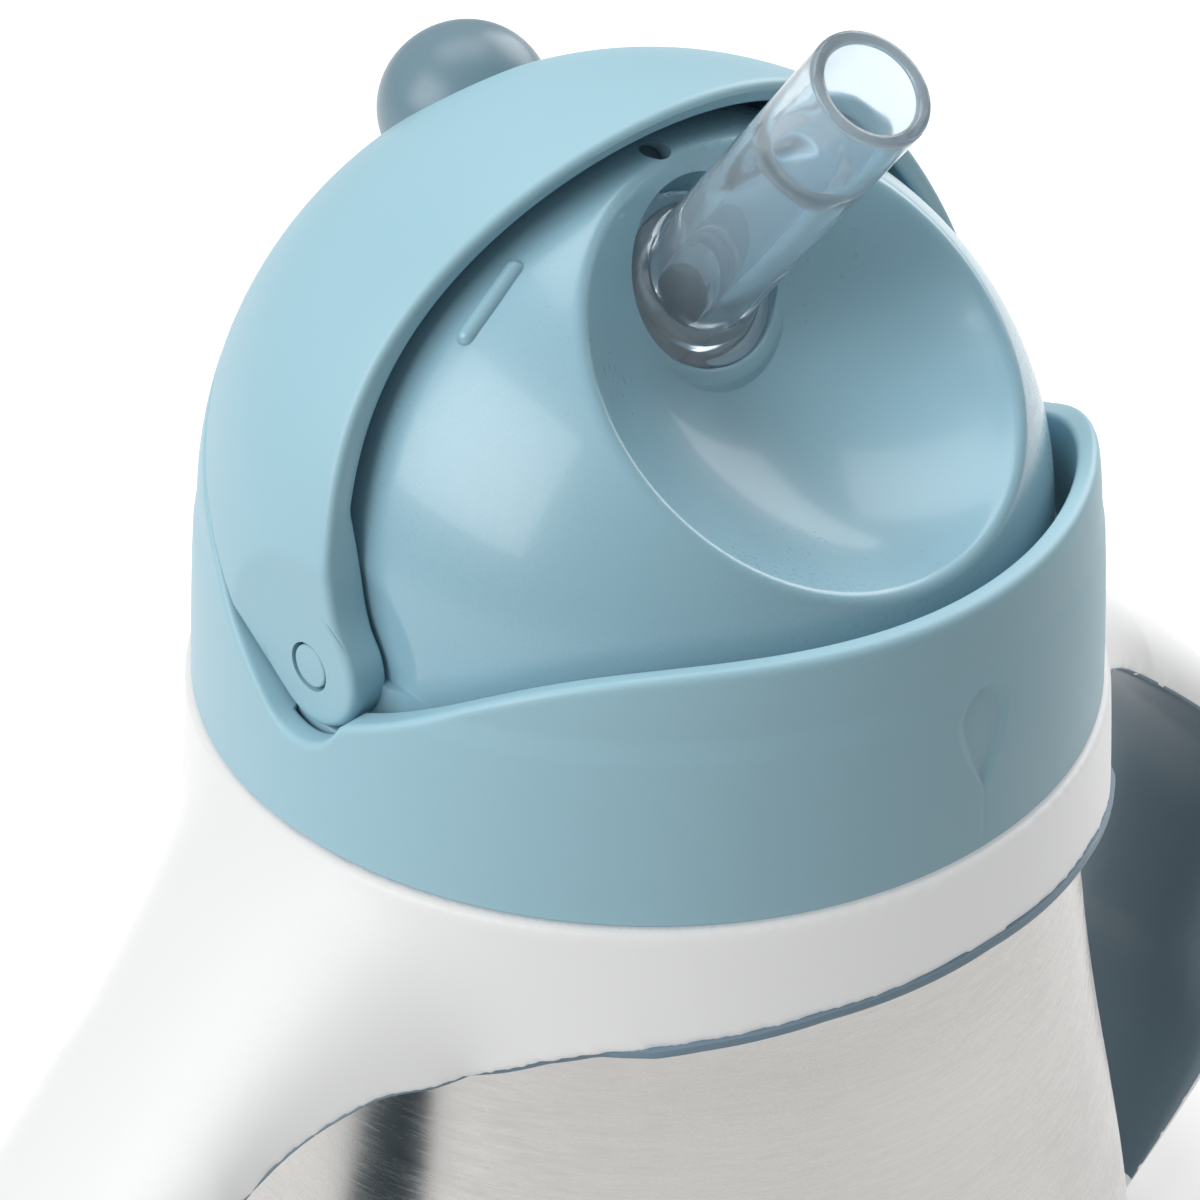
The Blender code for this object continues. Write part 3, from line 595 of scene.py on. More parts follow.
def remake_smooth(shell):
    """An even skin over the joined shell, widely rounded where each handle leaves the ring."""
    remesh = shell.modifiers.new("even", "REMESH")
    remesh.mode = "VOXEL"
    remesh.voxel_size = 0.45 * MM
    apply(shell)
    points = vertex_rows(shell, "co") / MM
    normals = vertex_rows(shell, "normal")
    r = np.hypot(points[:, 0], points[:, 1])
    z = points[:, 2] - SEAT_Z / MM
    near = np.clip((50 - r) / 8, 0, 1) * np.clip((np.abs(points[:, 0]) - 21) / 7, 0, 1)
    outside = np.clip((r - WHITE_OUT(z) + 1.0) / 0.5, 0, 1)
    top = np.clip((-0.7 - z) / 2.5, 0, 1)
    upward = np.clip((normals[:, 2] + 0.45) / 0.3, 0, 1)
    weight = near * outside * top * upward
    group = shell.vertex_groups.new(name="join")
    for step in range(1, 11):
        chosen = np.flatnonzero(np.round(weight * 10) == step)
        if len(chosen):
            group.add(chosen.tolist(), step / 10, "REPLACE")
    wide = shell.modifiers.new("join", "SMOOTH")
    wide.factor = 0.9
    wide.iterations = 420
    wide.vertex_group = "join"
    light = shell.modifiers.new("all", "SMOOTH")
    light.factor = 0.5
    light.iterations = 6
    apply(shell)
    smooth(shell, 60)


GRIP_FIRST_ROW = 3
GRIP_LIP = 0.5
GRIP_SWELL = 6.7
GRIP_SUNK = 0.35
GRIP_NARROWER = 0.12


def make_grip(name, rows, side):
    """The soft inner half: a thin lip under the arch that swells into the grip."""
    used = rows[GRIP_FIRST_ROW:-1]
    progress = np.linspace(0, 1, len(used))
    swell = np.clip((progress - 0.47) / 0.32, 0, 1)
    fall = np.clip((1 - progress) / 0.22, 0, 1)
    ease = np.sin(swell * math.pi / 2) ** 1.3 * np.sin(fall * math.pi / 2)
    depth = GRIP_LIP + GRIP_SWELL * ease
    sections = []
    for row, under in zip(used, depth):
        crown = np.array(row[:2])
        inner = np.array(row[2:4])
        inward = (inner - crown) / np.linalg.norm(inner - crown)
        top = inner - inward * GRIP_SUNK
        low = top + inward * (under + GRIP_SUNK)
        sections.append(half_round((*low, *top, row[4] - GRIP_NARROWER), power=2.8))
    skin = Skin()
    loft(skin, sections, side)
    grip = skin.build(name)
    bore = above_seat([(0, 3), (34.0, 3), (34.0, -12.5), (34.6, -17.7), (36.3, -27), (0, -27)])
    carve(grip, turned("grip_bore", bore, closed=False, steps=120))
    smooth(grip, 50)
    return grip


# ---------------------------------------------------------------- the seam that cover and collar share


def seam_line(raised, count=120):
    """The front seam as (y, z) about the pivot with the cover closed."""
    t = np.linspace(0, 1, count)[:, None]
    a, b, c, d = (np.array(point, float) for point in SEAM)
    line = (1 - t) ** 3 * a + 3 * t * (1 - t) ** 2 * b + 3 * t**2 * (1 - t) * c + t**3 * d
    step = np.gradient(line, axis=0)
    across = np.stack([-step[:, 1], step[:, 0]], 1)
    return line + across / np.linalg.norm(across, axis=1, keepdims=True) * raised


def into_arm(front, radius):
    """The cover's front edge with its corner at the arm rounded into the circle round the pivot."""
    corner = front[-1]
    kept = front[np.linalg.norm(front - corner, axis=1) > 2.6]
    angle = math.atan2(corner[1], corner[0]) + math.radians(24)
    end = radius * np.array([math.cos(angle), math.sin(angle)])
    t = np.linspace(0, 1, 24)[:, None]
    curve = (1 - t) ** 2 * kept[-1] + 2 * t * (1 - t) * corner + t**2 * end
    reach = np.linalg.norm(curve, axis=1, keepdims=True)
    curve *= np.maximum(reach, radius + 0.002 * (1 - t)) / reach
    return np.concatenate([kept[:-1], curve])


def under_arc(radius, start):
    first = math.degrees(math.atan2(start[1], start[0])) % 360
    return arc((0, 0), radius, first, 270 + math.degrees(REAR_SLOPE), 60)


def rear_line(radius, reach=60.0):
    start = np.array([radius * math.sin(REAR_SLOPE), -radius * math.cos(REAR_SLOPE)])
    along = np.array([math.cos(REAR_SLOPE), math.sin(REAR_SLOPE)])
    return start + np.linspace(0, reach, 80)[:, None] * along


def rotated(points, angle):
    turn = np.array([[math.cos(angle), -math.sin(angle)], [math.sin(angle), math.cos(angle)]])
    return np.asarray(points) @ turn.T


def saddle():
    """The collar's top edge in side view, from front to back, as y and z."""
    front = seam_line(0)
    dip = under_arc(ARM_R + SEAM_GAP, front[-1])
    line = np.concatenate([[(-60, 6.6)], front, dip[1:], rear_line(ARM_R + SEAM_GAP)[1:]])
    keep = np.concatenate([[True], np.diff(np.maximum.accumulate(line[:, 0])) > 1e-6])
    return line[keep]


SADDLE = saddle()


def saddle_height(y):
    return np.interp(y, SADDLE[:, 0], SADDLE[:, 1])


# ---------------------------------------------------------------- the collar


def collar_outer(z):
    lower = np.interp(z, [-12.65, -9.25, -5.85, -2.45, 0.15, 1.85], [34.0, 33.83, 33.6, 33.35, 33.1, 32.75])
    return np.where(z < 1.85, lower, np.sqrt(np.maximum(COVER_R**2 - z**2, 1)))


def collar_inner(z, rear):
    plain = np.where(z < -4.35, 31.5, 30.6)
    plain = np.where(z > 7.85, np.sqrt(np.maximum(31.6**2 - z**2, 1)), plain)
    deep = np.sqrt(np.maximum(31.6**2 - z**2, 1))
    pocket = np.clip((z + 1.5) / 0.4, 0, 1) * rear
    return plain + (deep - plain) * pocket


def meets_saddle(radius, across):
    """The height where a wall reaches the saddle, for a wall of radius(z) on the side with y = r * across."""
    levels = np.linspace(-12, 21, 6601)
    above = levels >= saddle_height(radius(levels) * across)
    return levels[np.argmax(above)]


def make_collar():
    fine = np.linspace(-5.2, 5.2, 60)
    coarse = np.linspace(5.2, 360 - 5.2, 400)[1:-1]
    angles = np.radians(np.concatenate([fine, coarse]) - 90)
    columns = []
    for angle in angles:
        across = math.sin(angle)
        rear = float(np.clip((across * 31 + 1.6) / 1.2, 0, 1))
        top_out = meets_saddle(collar_outer, across)
        top_in = meets_saddle(lambda z: collar_inner(z, rear), across)
        corner_out = np.array([float(collar_outer(np.array(top_out))), top_out])
        corner_in = np.array([float(collar_inner(np.array(top_in), rear)), top_in])
        level = corner_in - corner_out
        level = level / np.linalg.norm(level)
        t = np.linspace(0, 1, 7)[:, None]
        start = np.array([float(collar_outer(np.array(top_out - 0.75))), top_out - 0.75])
        end = corner_out + level * 0.6
        round_out = (1 - t) ** 2 * start + 2 * t * (1 - t) * corner_out + t**2 * end
        start = corner_in - level * 0.4
        end = np.array([float(collar_inner(np.array(top_in - 0.5), rear)), top_in - 0.5])
        round_in = (1 - t) ** 2 * start + 2 * t * (1 - t) * corner_in + t**2 * end
        up = np.linspace(-12.35, top_out - 0.75, 78)[:-1]
        wall = np.stack([collar_outer(up), up], 1)
        down = np.linspace(top_in - 0.5, -12.4, 40)[1:]
        inside = np.stack([collar_inner(down, rear), down], 1)
        foot = [(31.65, -12.65), (33.75, -12.65)]
        section = np.concatenate([foot[1:], wall, round_out, round_in, inside, foot[:1]])
        x = section[:, 0] * math.cos(angle)
        y = section[:, 0] * math.sin(angle)
        columns.append(np.stack([x, y, section[:, 1]], -1))
    points = np.array(columns).transpose(1, 0, 2)
    points = pressed_drop(points)
    skin = Skin()
    skin.grid(np.concatenate([points, points[:1]]), wrap=True)
    collar = skin.build("lid_collar", PIVOT)
    finish(collar, LID_MATTE, "lid", "collar", slot="lid_plastic")

    for first, last in ((196, 344), (8, 172)):
        angles = np.radians(np.linspace(first, last, 120))
        section = fillet([(31.4, -3.35), (29.7, -3.35), (29.7, -4.35), (31.4, -4.35)], 0.15, 2)
        section = np.concatenate([section, section[:1]])
        r = section[:, :1]
        z = np.repeat(section[:, 1:], len(angles), 1)
        skin = Skin()
        skin.grid(np.stack([r * np.cos(angles), r * np.sin(angles), z], -1))
        ledge = skin.build("collar_ledge_front" if first > 100 else "collar_ledge_back", PIVOT)
        finish(ledge, LID_MATTE, "lid", slot="lid_plastic")


def pressed_drop(points):
    """Presses a small drop and the fine line under it into the collar's front."""
    x = points[..., 0]
    y = points[..., 1]
    z = points[..., 2] - UP / MM
    r = np.hypot(x, y)
    tip, belly, radius = 5.2, 10.6, 2.45
    low = np.clip((z - tip) / (belly - tip), 0, 1)
    half = np.where(z < belly, radius * low**0.8 * (1 + 0.12 * np.sin(low * math.pi)),
                    np.sqrt(np.maximum(radius**2 - (z - belly) ** 2, 0)))
    away = half - np.abs(x)
    inside = (y < 0) & (r > 32.4) & (z > 0.4) & (z < 13.1)
    press = np.where(z > tip, np.clip((away + 0.2) / 0.95, 0, 1), 0)
    press = press * press * (3 - 2 * press)
    line = np.exp(-((x / 0.22) ** 2)) * np.clip((z - 0.6) / 0.8, 0, 1) * np.clip((tip + 0.6 - z) / 0.8, 0, 1)
    depth = np.where(inside, 0.36 * press + 0.06 * line, 0)
    scale = (r - depth) / r
    return np.stack([x * scale, y * scale, points[..., 2]], -1)


# ---------------------------------------------------------------- the dome


CLICK_BAR = ((19.23, -2.49, 22.1), (17.05, -2.44, 23.83), (14.73, -2.15, 25.35))
CLICK_BAR_SUNK = 0.994
CLICK_BAR_RADIUS = 0.72


def on_dome(piece):
    finish(piece, DOME_GLOSS, "lid", slot="dome_plastic")


def make_dome():
    dish_r, dish_at = 22.2, 38.5
    rim = np.array([16.88, 24.07])
    floor = math.degrees(math.asin(rim[0] / dish_r))
    dish = arc((0, dish_at), dish_r, -90, -90 + floor, 60)
    start_angle = math.degrees(math.atan2(rim[1], rim[0]))
    outer = arc((0, 0), DOME_R, start_angle, -52, 120)
    reach = 0.95
    before = dish[-1] - dish[-2]
    after = outer[1] - outer[0]
    a = rim - before / np.linalg.norm(before) * reach
    b = rim + after / np.linalg.norm(after) * reach
    t = np.linspace(0, 1, 10)[:, None]
    bead = (1 - t) ** 2 * a + 2 * t * (1 - t) * rim + t**2 * b
    dish = dish[np.linalg.norm(dish - rim, axis=1) > reach * 1.05]
    outer = outer[np.linalg.norm(outer - rim, axis=1) > reach * 1.05]
    profile = np.concatenate([[(0, dish_at - dish_r)], dish[1:], bead, outer])
    skin = Skin()
    lathe(skin, profile, steps=260, closed=False)
    dome = skin.build("dome_shell", PIVOT, TO_DISH)
    shape = bmesh.new()
    shape.from_mesh(dome.data)
    geometry = shape.verts[:] + shape.edges[:] + shape.faces[:]
    cut = bmesh.ops.bisect_plane(shape, geom=geometry, plane_co=PIVOT + Vector((0, 0, -0.5 * MM)),
                                 plane_no=(0, 0, -1), clear_outer=True)
    edges = [item for item in cut["geom_cut"] if isinstance(item, bmesh.types.BMEdge)]
    bmesh.ops.holes_fill(shape, edges=edges)
    for vert in shape.verts:
        vert.co.x = max(min(vert.co.x, 28.3 * MM), -28.3 * MM)
    bmesh.ops.recalc_face_normals(shape, faces=shape.faces)
    shape.to_mesh(dome.data)
    shape.free()

    cavity = turned("cavity", np.concatenate([[(0, -4)], [(27.4, -4)], arc((0, 0), 27.4, 0, 90, 24)])[::-1],
                    PIVOT, closed=False, steps=96)
    dish_centre = PIVOT + DISH_AXIS * 38.5 * MM
    back = turned("back", arc((0, 0), 24.2, 90, -90, 40), dish_centre, closed=False, steps=96)
    carve(cavity, back)
    round_hole = [(0, 8), (7.85, 8), (7.85, -4.3), (0, -4.3)]
    carve(cavity, turned("boss", round_hole, HOLE, TO_STRAW, closed=False, steps=64))
    carve(dome, cavity)
    bore = turned("bore", [(0, 14), (6.6, 14), (6.6, -2.6), (0, -2.6)], HOLE, TO_RIM, closed=False, steps=128)
    carve(dome, bore)
    bore = turned("bore", [(0, 2), (4.65, 2), (4.65, -12), (0, -12)], HOLE, TO_STRAW, closed=False, steps=96)
    carve(dome, bore)
    vent = PIVOT + Vector((-1.2, -1.5, 29.35)) * MM
    hole = turned("vent", [(0, 4), (1.0, 4), (1.0, -12), (0, -12)], vent, TO_STRAW, closed=False, steps=40)
    carve(dome, hole)
    smooth(dome, 30)
    finish(dome, DOME_GLOSS, "lid", "dome", slot="dome_plastic")

    skirt = fillet([(29.4, -0.4), (29.4, -4.65), (31.2, -4.65), (31.2, -5.65), (27.4, -5.65), (27.4, -0.4)],
                   [0, 0.3, 0.2, 0.2, 0.2, 0])
    on_dome(turned("dome_flange", skirt, PIVOT, steps=200))

    lip = fillet([(6.57, -2.4), (6.57, -0.25), (7.5, -0.3), (8.7, -1.15), (10.8, -1.9), (8.0, -3.2)],
                 [0, 0.5, 1.2, 1.4, 0.4, 0.4], 7)
    on_dome(turned("hole_lip", lip, HOLE, TO_RIM, steps=128, sharp=60))

    for side, name in ((-1, "left"), (1, "right")):
        line = [Vector((side * x, y, z)) * CLICK_BAR_SUNK for x, y, z in CLICK_BAR]
        on_dome(capsule("click_bar_" + name, line, CLICK_BAR_RADIUS))

    for side, name in ((-1, "left"), (1, "right")):
        turn = Vector((side, 0, 0)).to_track_quat("Z", "Y").to_matrix()
        boss = fillet([(3.6, 28.2), (3.6, 23.8), (1.85, 23.8), (1.85, 28.2)], 0.25, 3)
        on_dome(turned("pin_boss_" + name, boss, PIVOT, turn, steps=48))
        pin = fillet([(0, 31.66), (1.6, 31.66), (1.6, 24.2), (0, 24.2)], [0, 0.22, 0.3, 0], 4, closed=False)
        pin = turned("pin_" + name, pin, PIVOT, turn, closed=False, steps=64)
        finish(pin, COVER_MATTE, "lid", "pivot_pin_" + name, slot="pin_plastic")

    # The vent plug takes the painted shade colour, standing for the dark hole that it sits in
    plug = fillet([(0, -0.9), (0.95, -0.9), (0.95, -2.3), (0, -2.3)], [0, 0.2, 0.2, 0], 3, closed=False)
    finish(turned("vent_plug", plug, vent, TO_STRAW, closed=False, steps=32), VENT_PAINTED_SHADE, "lid", "vent_valve",
           slot="straw_silicone")
    seal = above_seat(fillet([(31.0, 6.75), (31.0, 5.75), (27.6, 5.75), (27.6, 6.75)], 0.35, 4))
    finish(turned("mouth_seal", seal), MILKY, "lid", "lid_gasket", slot="gasket_silicone")


def sweep(skin, path, radius, sides=32, caps=True):
    """A round bar along a path, in millimetres."""
    path = [Vector(point) for point in path]
    rings = []
    normal = None
    for index, point in enumerate(path):
        ahead = (path[min(index + 1, len(path) - 1)] - path[max(index - 1, 0)]).normalized()
        if normal is None:
            normal = ahead.orthogonal().normalized()
        normal = (normal - ahead * normal.dot(ahead)).normalized()
        other = ahead.cross(normal)
        width = radius[index] if hasattr(radius, "__len__") else radius
        ring = []
        for step in range(sides):
            angle = 2 * math.pi * step / sides
            ring.append(point + (normal * math.cos(angle) + other * math.sin(angle)) * width)
        rings.append(ring)
    skin.grid(np.array(rings), wrap=True)


def capsule(name, points, radius):
    """A bar with round ends through a few points about the pivot."""
    line = smooth_line([tuple(point) for point in points], 24)
    first = line[0] - line[1]
    last = line[-1] - line[-2]
    first = first / np.linalg.norm(first)
    last = last / np.linalg.norm(last)
    angles = np.radians(np.linspace(89, 0, 8))
    head = [line[0] + first * radius * math.sin(a) for a in angles]
    tail = [line[-1] + last * radius * math.sin(a) for a in angles[::-1]]
    widths = [radius * math.cos(a) for a in angles] + [radius] * (len(line) - 2)
    widths += [radius * math.cos(a) for a in angles[::-1]]
    skin = Skin()
    sweep(skin, head + list(line[1:-1]) + tail, widths, 24)
    return skin.build(name, PIVOT, sharp=80)


# ---------------------------------------------------------------- the cover


class Outline:
    """The cover's outline in side view with the cover open."""

    def __init__(self):
        self.front = rotated(into_arm(seam_line(SEAM_GAP), ARM_R), -CLOSING_ANGLE)
        arm = under_arc(ARM_R, self.front[-1])
        line = np.concatenate([self.front, arm[1:], rear_line(ARM_R)[1:]])
        self.start = line[:-1]
        self.step = np.diff(line, axis=0)
        radius = np.hypot(*self.front.T)
        angle = np.degrees(np.arctan2(self.front[:, 1], self.front[:, 0]))
        order = np.argsort(radius)
        self.radius = radius[order]
        self.angle = angle[order]
        self.arm_front = self.angle[0]

    def front_angle(self, radius):
        return np.interp(radius, self.radius, self.angle)

    def rear_angle(self, radius):
        return math.degrees(REAR_SLOPE) - np.degrees(np.arcsin(np.clip(ARM_R / radius, 0, 1)))

    def distance(self, points):
        """How far (y, z) points are from the outline."""
        flat = points.reshape(-1, 1, 2)
        away = flat - self.start
        length = (self.step**2).sum(1)
        along = np.clip((away * self.step).sum(2) / length, 0, 1)
        nearest = away - along[..., None] * self.step
        return np.sqrt((nearest**2).sum(2).min(1)).reshape(points.shape[:-1])


def cover_rows(outline, radius):
    """(y, z) rows from the middle of the cover to the end of one arm, and each row's x before flattening."""
    edge = np.array([0, 0.05, 0.15, 0.28, 0.42, 0.6, 0.85, 1.2, 1.7])
    tilt_end = math.acos(8.42 / COVER_R)
    tilts = np.linspace(0, tilt_end, 76)
    radii = list(radius * np.cos(tilts))
    heights = list(radius * np.sin(tilts))
    flat = np.linspace(radii[-1], ARM_R, 9)[1:]
    radii += list(flat)
    heights += list(np.sqrt(radius**2 - flat**2))
    rows = []
    for r in radii:
        low = outline.rear_angle(max(r, ARM_R))
        high = outline.front_angle(r)
        length = math.radians(high - low) * r
        scale = min(1, length / 14)
        near = edge * scale
        middle = np.linspace(near[-1], length - near[-1], 44)[1:-1]
        along = np.concatenate([near, middle, length - near[::-1]])
        angles = np.radians(low + np.degrees(along / r))
        rows.append(np.stack([r * np.cos(angles), r * np.sin(angles)], 1))
    upper = rows[-1]
    share = np.linspace(0, 1, len(upper))
    low = outline.rear_angle(ARM_R)
    high = outline.front_angle(ARM_R)
    around = np.radians(low + (high - 360 - low) * share)
    lower = ARM_R * np.stack([np.cos(around), np.sin(around)], 1)
    for part in (0.12, 0.25, 0.38, 0.5, 0.62, 0.73, 0.82, 0.89, 0.94, 0.975, 1.0):
        rows.append(upper + (lower - upper) * part)
        heights.append(radius)
    return np.array(rows), np.array(heights)


def cover_side(outline, radius, flat, rounding, outward):
    """One half of the cover's outer or inner surface, from the middle to an arm, rounded at its edge."""
    rows, heights = cover_rows(outline, radius)
    reach = np.hypot(rows[..., 0], rows[..., 1])
    x = np.sqrt(np.maximum(radius**2 - reach**2, 0))
    x = np.where(heights[:, None] == 0, 0, x)
    flattened = x > flat
    x = np.minimum(x, flat)
    normal = np.stack([x, rows[..., 0], rows[..., 1]], -1) / radius
    normal[flattened] = (1, 0, 0)
    normal /= np.linalg.norm(normal, axis=-1, keepdims=True)
    away = outline.distance(rows)
    inside = np.clip(rounding - away, 0, rounding)
    drop = rounding - np.sqrt(np.maximum(rounding**2 - inside**2, 0))
    points = np.stack([x, rows[..., 0], rows[..., 1]], -1)
    return points - normal * drop[..., None] * outward


def make_cover():
    outline = Outline()
    outer = cover_side(outline, COVER_R, ARM_FACE, 0.6, 1)
    inner = cover_side(outline, COVER_IN, ARM_INNER, 0.4, -1)
    whole_out = np.concatenate([outer[::-1] * (-1, 1, 1), outer[1:]])
    whole_in = np.concatenate([inner[::-1] * (-1, 1, 1), inner[1:]])

    def border(grid):
        return np.concatenate([grid[:, 0], grid[-1, 1:], grid[::-1, -1][1:], grid[0, ::-1][1:-1]])

    skin = Skin()
    skin.grid(whole_out)
    skin.grid(whole_in, flip=True)
    outside = border(whole_out)
    inside = border(whole_in)
    skin.grid(np.stack([outside + (inside - outside) * t for t in np.linspace(0, 1, 4)]), wrap=True)
    cover = skin.build("turning_cover", PIVOT, weld=4e-6)
    for side in (-1, 1):
        turn = Vector((side, 0, 0)).to_track_quat("Z", "Y").to_matrix()
        hole = turned("hole", [(0, 34), (1.85, 34), (1.85, 27), (0, 27)], PIVOT, turn, closed=False, steps=64)
        carve(cover, hole)
    smooth(cover, 42)
    finish(cover, COVER_MATTE, "cover", "cover", slot="cover_plastic")

    angles = np.radians(np.linspace(8, 38, 30))
    tilts = np.linspace(-1, 1, 60)
    layers = []
    for radius in (30.2, 31.3):
        x = np.clip(tilts * 26, -26, 26)
        reach = np.sqrt(radius**2 - x**2)
        y = reach[:, None] * np.cos(angles)
        z = reach[:, None] * np.sin(angles)
        layers.append(np.stack([np.repeat(x[:, None], len(angles), 1), y, z], -1))
    skin = Skin()
    skin.grid(layers[1])
    skin.grid(layers[0], flip=True)
    skin.grid(np.stack([border(layers[1]), border(layers[0])]), wrap=True)
    finish(skin.build("cover_skirt", PIVOT), COVER_MATTE, "cover", slot="cover_plastic")

    make_knob()


def make_knob():
    """A smooth round button whose flat foot lies within the cover's wall, clear of the folded straw."""
    centre = Vector((0, 19.8, 24.5))
    out = centre.normalized()
    turn = out.to_track_quat("Z", "X").to_matrix()
    angles = np.radians(np.linspace(90, -10, 60))
    profile = np.stack([6.45 * np.cos(angles), 6.35 * np.sin(angles)], 1)
    profile[:, 0] *= 1 + 0.02 * np.sin(angles)
    profile = np.concatenate([profile, [(0, profile[-1][1])]])
    knob = turned("thumb_button", profile, PIVOT + centre * MM, turn, closed=False, steps=128, sharp=60)
    finish(knob, KNOB_SATIN, "cover", "thumb_knob", slot="knob_soft")


# ---------------------------------------------------------------- the straw


def lean_flange(straw):
    """Leans the straw's flange so that it lies level with the hole's rim."""
    low = Vector((0, -math.sin(HOLE_TILT), -math.cos(HOLE_TILT)))
    slope = math.tan(HOLE_TILT - RIM_TILT)
    for vert in straw.data.vertices:
        place = vert.co - HOLE
        share = min(max((3.2 - place.dot(STRAW_AXIS) / MM) / 3.0, 0), 1)
        share = share * share * (3 - 2 * share)
        vert.co -= STRAW_AXIS * slope * place.dot(low) * share


def make_straw():
    outside = [(6.2, -1.95), (6.2, -0.5), (5.3, -0.25), (4.55, 0.7), (4.35, 2.4), (4.35, 20.5), (4.35, 24.9)]
    inside = [(3.35, 24.9), (3.2, 17.2), (2.3, 15.6), (2.3, -1.95)]
    radii = [0.35, 0.5, 0.6, 0.9, 1.2, 2, 0.55, 0.55, 0.9, 0.9, 0.3]
    profile = fillet(outside + inside, radii, 6)
    rows = []
    for start, end in zip(profile, np.roll(profile, -1, 0)):
        count = max(int(np.linalg.norm(end - start) / 0.6), 1)
        rows += [start + (end - start) * k / count for k in range(count)]
    straw = turned("soft_straw", rows, HOLE, TO_STRAW, steps=96, sharp=60)
    lean_flange(straw)
    finish(straw, CLEAR, None, "straw_spout", slot="straw_silicone")
    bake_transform(straw)

    start = (HOLE - PIVOT) / MM
    leaving = start - STRAW_AXIS * 2.05
    control = [leaving, start + Vector((0, 4.4, -5.6)), Vector((0, 0, 13)), Vector((0, 0, 8))]
    path = []
    for t in np.linspace(0, 1, 24):
        weights = ((1 - t) ** 3, 3 * t * (1 - t) ** 2, 3 * t**2 * (1 - t), t**3)
        path.append(sum((point * w for point, w in zip(control, weights)), Vector()))
    path += [Vector((0, 0, z)) for z in np.linspace(7.4, 3.0, 8)]
    skin = Skin()
    for radius in (4.35, 2.4):
        sweep(skin, path, radius, 48)
    rings = [skin.points[0].reshape(len(path), 48, 3), skin.points[1].reshape(len(path), 48, 3)]
    for row in (0, -1):
        skin.grid(np.stack([rings[0][row], rings[1][row]]), wrap=True)
    finish(skin.build("straw_bend", PIVOT, sharp=60), CLEAR, "lid", "straw_elbow", slot="straw_silicone")

    barb = fillet([(1.8, 8.0), (2.15, 5.5), (1.9, 5.2), (1.9, 2.7), (3.6, 2.7), (3.6, 1.7), (1.9, 1.7),
                   (1.9, -0.8), (2.15, -1.1), (1.8, -3.6), (1.3, -3.6), (1.3, 8.0)], 0.15, 3)
    joint = turned("tube_joint", barb, PIVOT, steps=64)
    finish(joint, NATURAL, "lid", "straw_connector", slot="connector_plastic")

    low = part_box("straw_tube")[0][2] / MM - PIVOT.z / MM
    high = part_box("straw_tube")[1][2] / MM - PIVOT.z / MM
    wall = fillet([(3.5, high), (3.5, low + 0.2), (2.4, low + 0.2), (2.4, high)], 0.3, 3)
    skin = Skin()
    lathe(skin, wall, steps=64)
    points = skin.points[0]
    near = points[:, 2] < low + 4
    points[near, 2] += np.clip(points[near, 1] + 3.5, 0, 7) * 0.5
    finish(skin.build("dip_tube", PIVOT), CLEAR, "lid", "straw_tube", slot="straw_silicone")


make_cup()
make_handles()
make_collar()
make_dome()
make_cover()
make_straw()


# ---------------------------------------------------------------- floor, light and camera


def make_stage():
    """A plain pale floor."""
    skin = Skin()
    rings = np.concatenate([[0.01], np.geomspace(40, 4000, 30)])[:, None]
    angles = round_angles(96)
    flat = np.stack([rings * np.cos(angles), rings * np.sin(angles), 0 * rings * angles], -1)
    skin.grid(flat, wrap=True)
    floor = skin.build("studio_floor", (0, 0, 0))
    made, tree, shader = nodes_of("studio_paper")
    place = add(tree, "ShaderNodeTexCoord").outputs["Object"]
    broad = noise(tree, place, 3, 2)
    tree.links.new(tinted(tree, broad, (0.93, 0.93, 0.93), (0.95, 0.95, 0.95)), shader.inputs["Base Color"])
    shader.inputs["Roughness"].default_value = 0.9
    shader.inputs["Specular IOR Level"].default_value = 0.1
    shader.inputs["Emission Color"].default_value = (1, 1, 1, 1)
    shader.inputs["Emission Strength"].default_value = FLOOR_GLOW
    floor.data.materials.append(made)
    floor.visible_diffuse = False


def area_light(name, place, size, power, aim=(0, 0, 0.08), colour=(1, 1, 1)):
    light = bpy.data.lights.new(name, "AREA")
    light.shape = "RECTANGLE"
    light.size, light.size_y = size
    light.energy = power
    light.color = colour
    obj = bpy.data.objects.new(name, light)
    obj.location = place
    obj.rotation_euler = (Vector(place) - Vector(aim)).to_track_quat("Z", "Y").to_euler()
    bpy.context.scene.collection.objects.link(obj)
    return obj


def around(azimuth, elevation, distance):
    """A place round the cup. Azimuth 0 is in front, at -Y, and 90 at +X."""
    a = math.radians(azimuth)
    e = math.radians(elevation)
    return (distance * math.sin(a) * math.cos(e), -distance * math.cos(a) * math.cos(e),
            0.08 + distance * math.sin(e))


FLOOR_GLOW = 0.15
AMBIENT = 0.34
SEEN_WORLD = 0.95


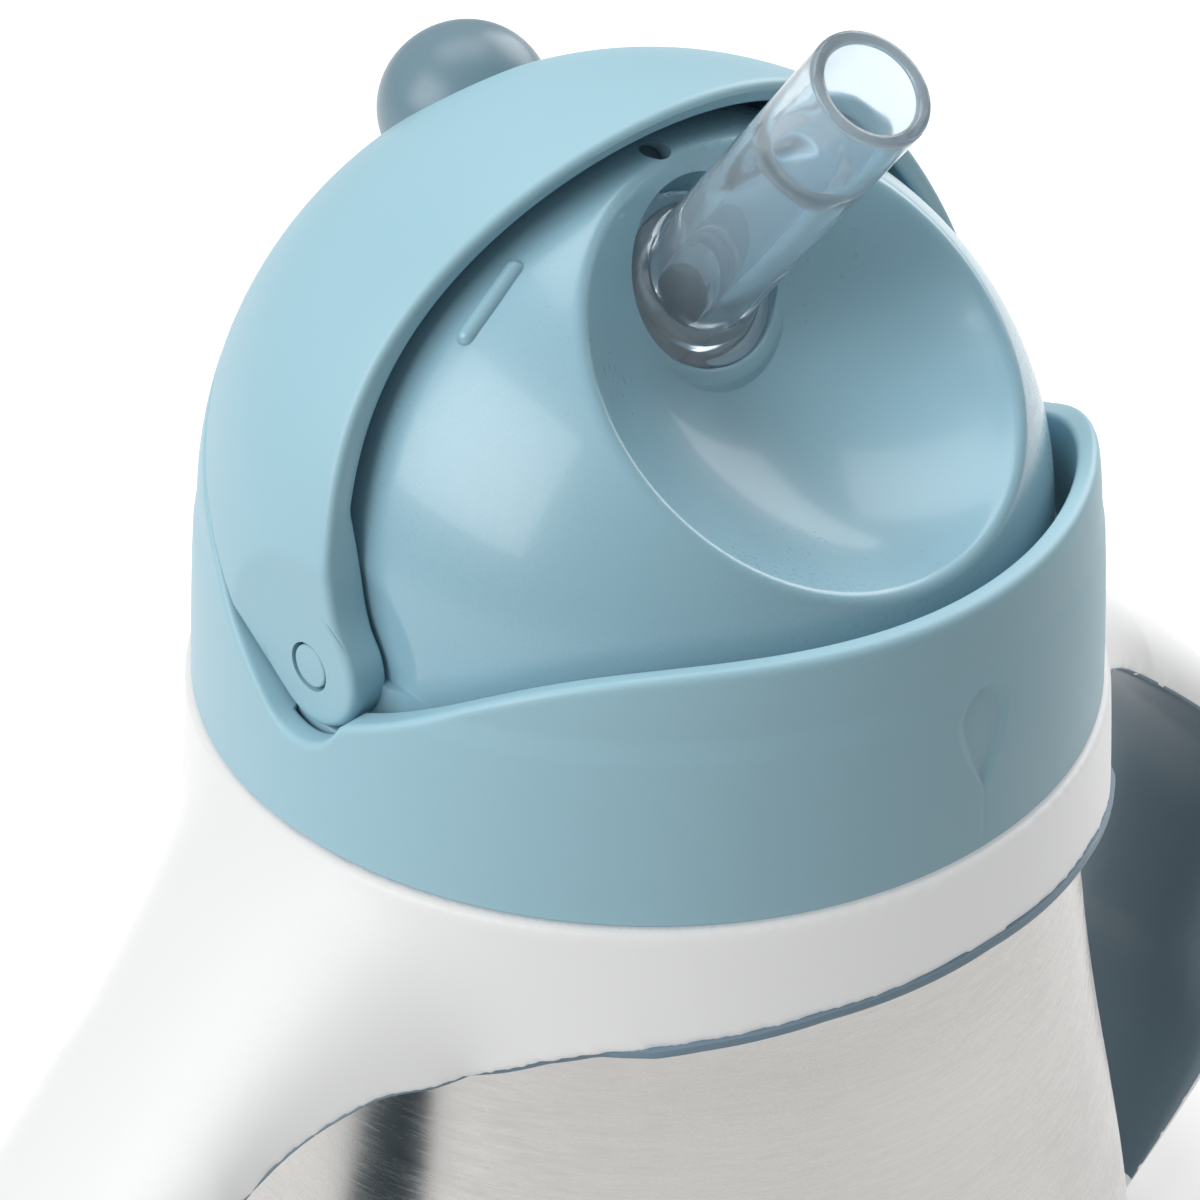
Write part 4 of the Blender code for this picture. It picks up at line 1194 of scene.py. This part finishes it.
def make_lights():
    """A dim even room that looks white, and large soft boxes on both sides and above."""
    world = bpy.data.worlds.new("studio")
    world.use_nodes = True
    tree = world.node_tree
    background = tree.nodes["Background"]
    background.inputs["Color"].default_value = (1, 1, 1, 1)
    path = add(tree, "ShaderNodeLightPath")
    seen = add(tree, "ShaderNodeMath", operation="MAXIMUM")
    tree.links.new(path.outputs["Is Camera Ray"], seen.inputs[0])
    tree.links.new(path.outputs["Is Transmission Ray"], seen.inputs[1])
    level = add(tree, "ShaderNodeMapRange")
    level.inputs["To Min"].default_value = AMBIENT
    level.inputs["To Max"].default_value = SEEN_WORLD
    tree.links.new(seen.outputs[0], level.inputs["Value"])
    tree.links.new(level.outputs["Result"], background.inputs["Strength"])
    bpy.context.scene.world = world
    bpy.context.scene.view_settings.view_transform = "Standard"
    area_light("left_box", around(-100, 32, 0.9), (0.75, 0.6), 6.5)
    area_light("right_box", around(100, 28, 0.9), (0.6, 0.6), 4.5)
    area_light("top_box", around(150, 72, 1.1), (0.9, 0.6), 5.0)


VIEW_AZIMUTH = math.radians(-43.5)
VIEW_ELEVATION = 0.597519
VIEW_ROLL = 0.0120527
VIEW_DISTANCE = 0.272
LENS = 108.934
AIM_RIGHT = 47.128 / 3631.14
AIM_DOWN = 44.348 / 3631.14


def make_camera():
    """A long lens that looks down on the lid from the left of the front."""
    target = Vector((0, 0, SEAT_Z))
    a, e = VIEW_AZIMUTH, VIEW_ELEVATION
    back = Vector((math.sin(a) * math.cos(e), -math.cos(a) * math.cos(e), math.sin(e)))
    ahead = -back
    right = ahead.cross(Vector((0, 0, 1))).normalized()
    down = ahead.cross(right)
    look = Matrix((right, down, ahead))
    roll = Matrix.Rotation(VIEW_ROLL, 3, "Z")
    aim = Vector((AIM_RIGHT, AIM_DOWN, 1)).normalized()
    offset = Vector((0, 0, 1)).rotation_difference(aim).to_matrix()
    turn = offset @ roll @ look
    camera = bpy.data.cameras.new("camera")
    camera.lens = LENS
    camera.sensor_width = 36
    camera.clip_start = 0.01
    obj = bpy.data.objects.new("camera", camera)
    facing = Matrix((turn[0], -turn[1], -turn[2])).transposed()
    obj.matrix_world = Matrix.Translation(target + back * VIEW_DISTANCE) @ facing.to_4x4()
    bpy.context.scene.collection.objects.link(obj)
    bpy.context.scene.camera = obj


make_stage()
make_lights()
make_camera()
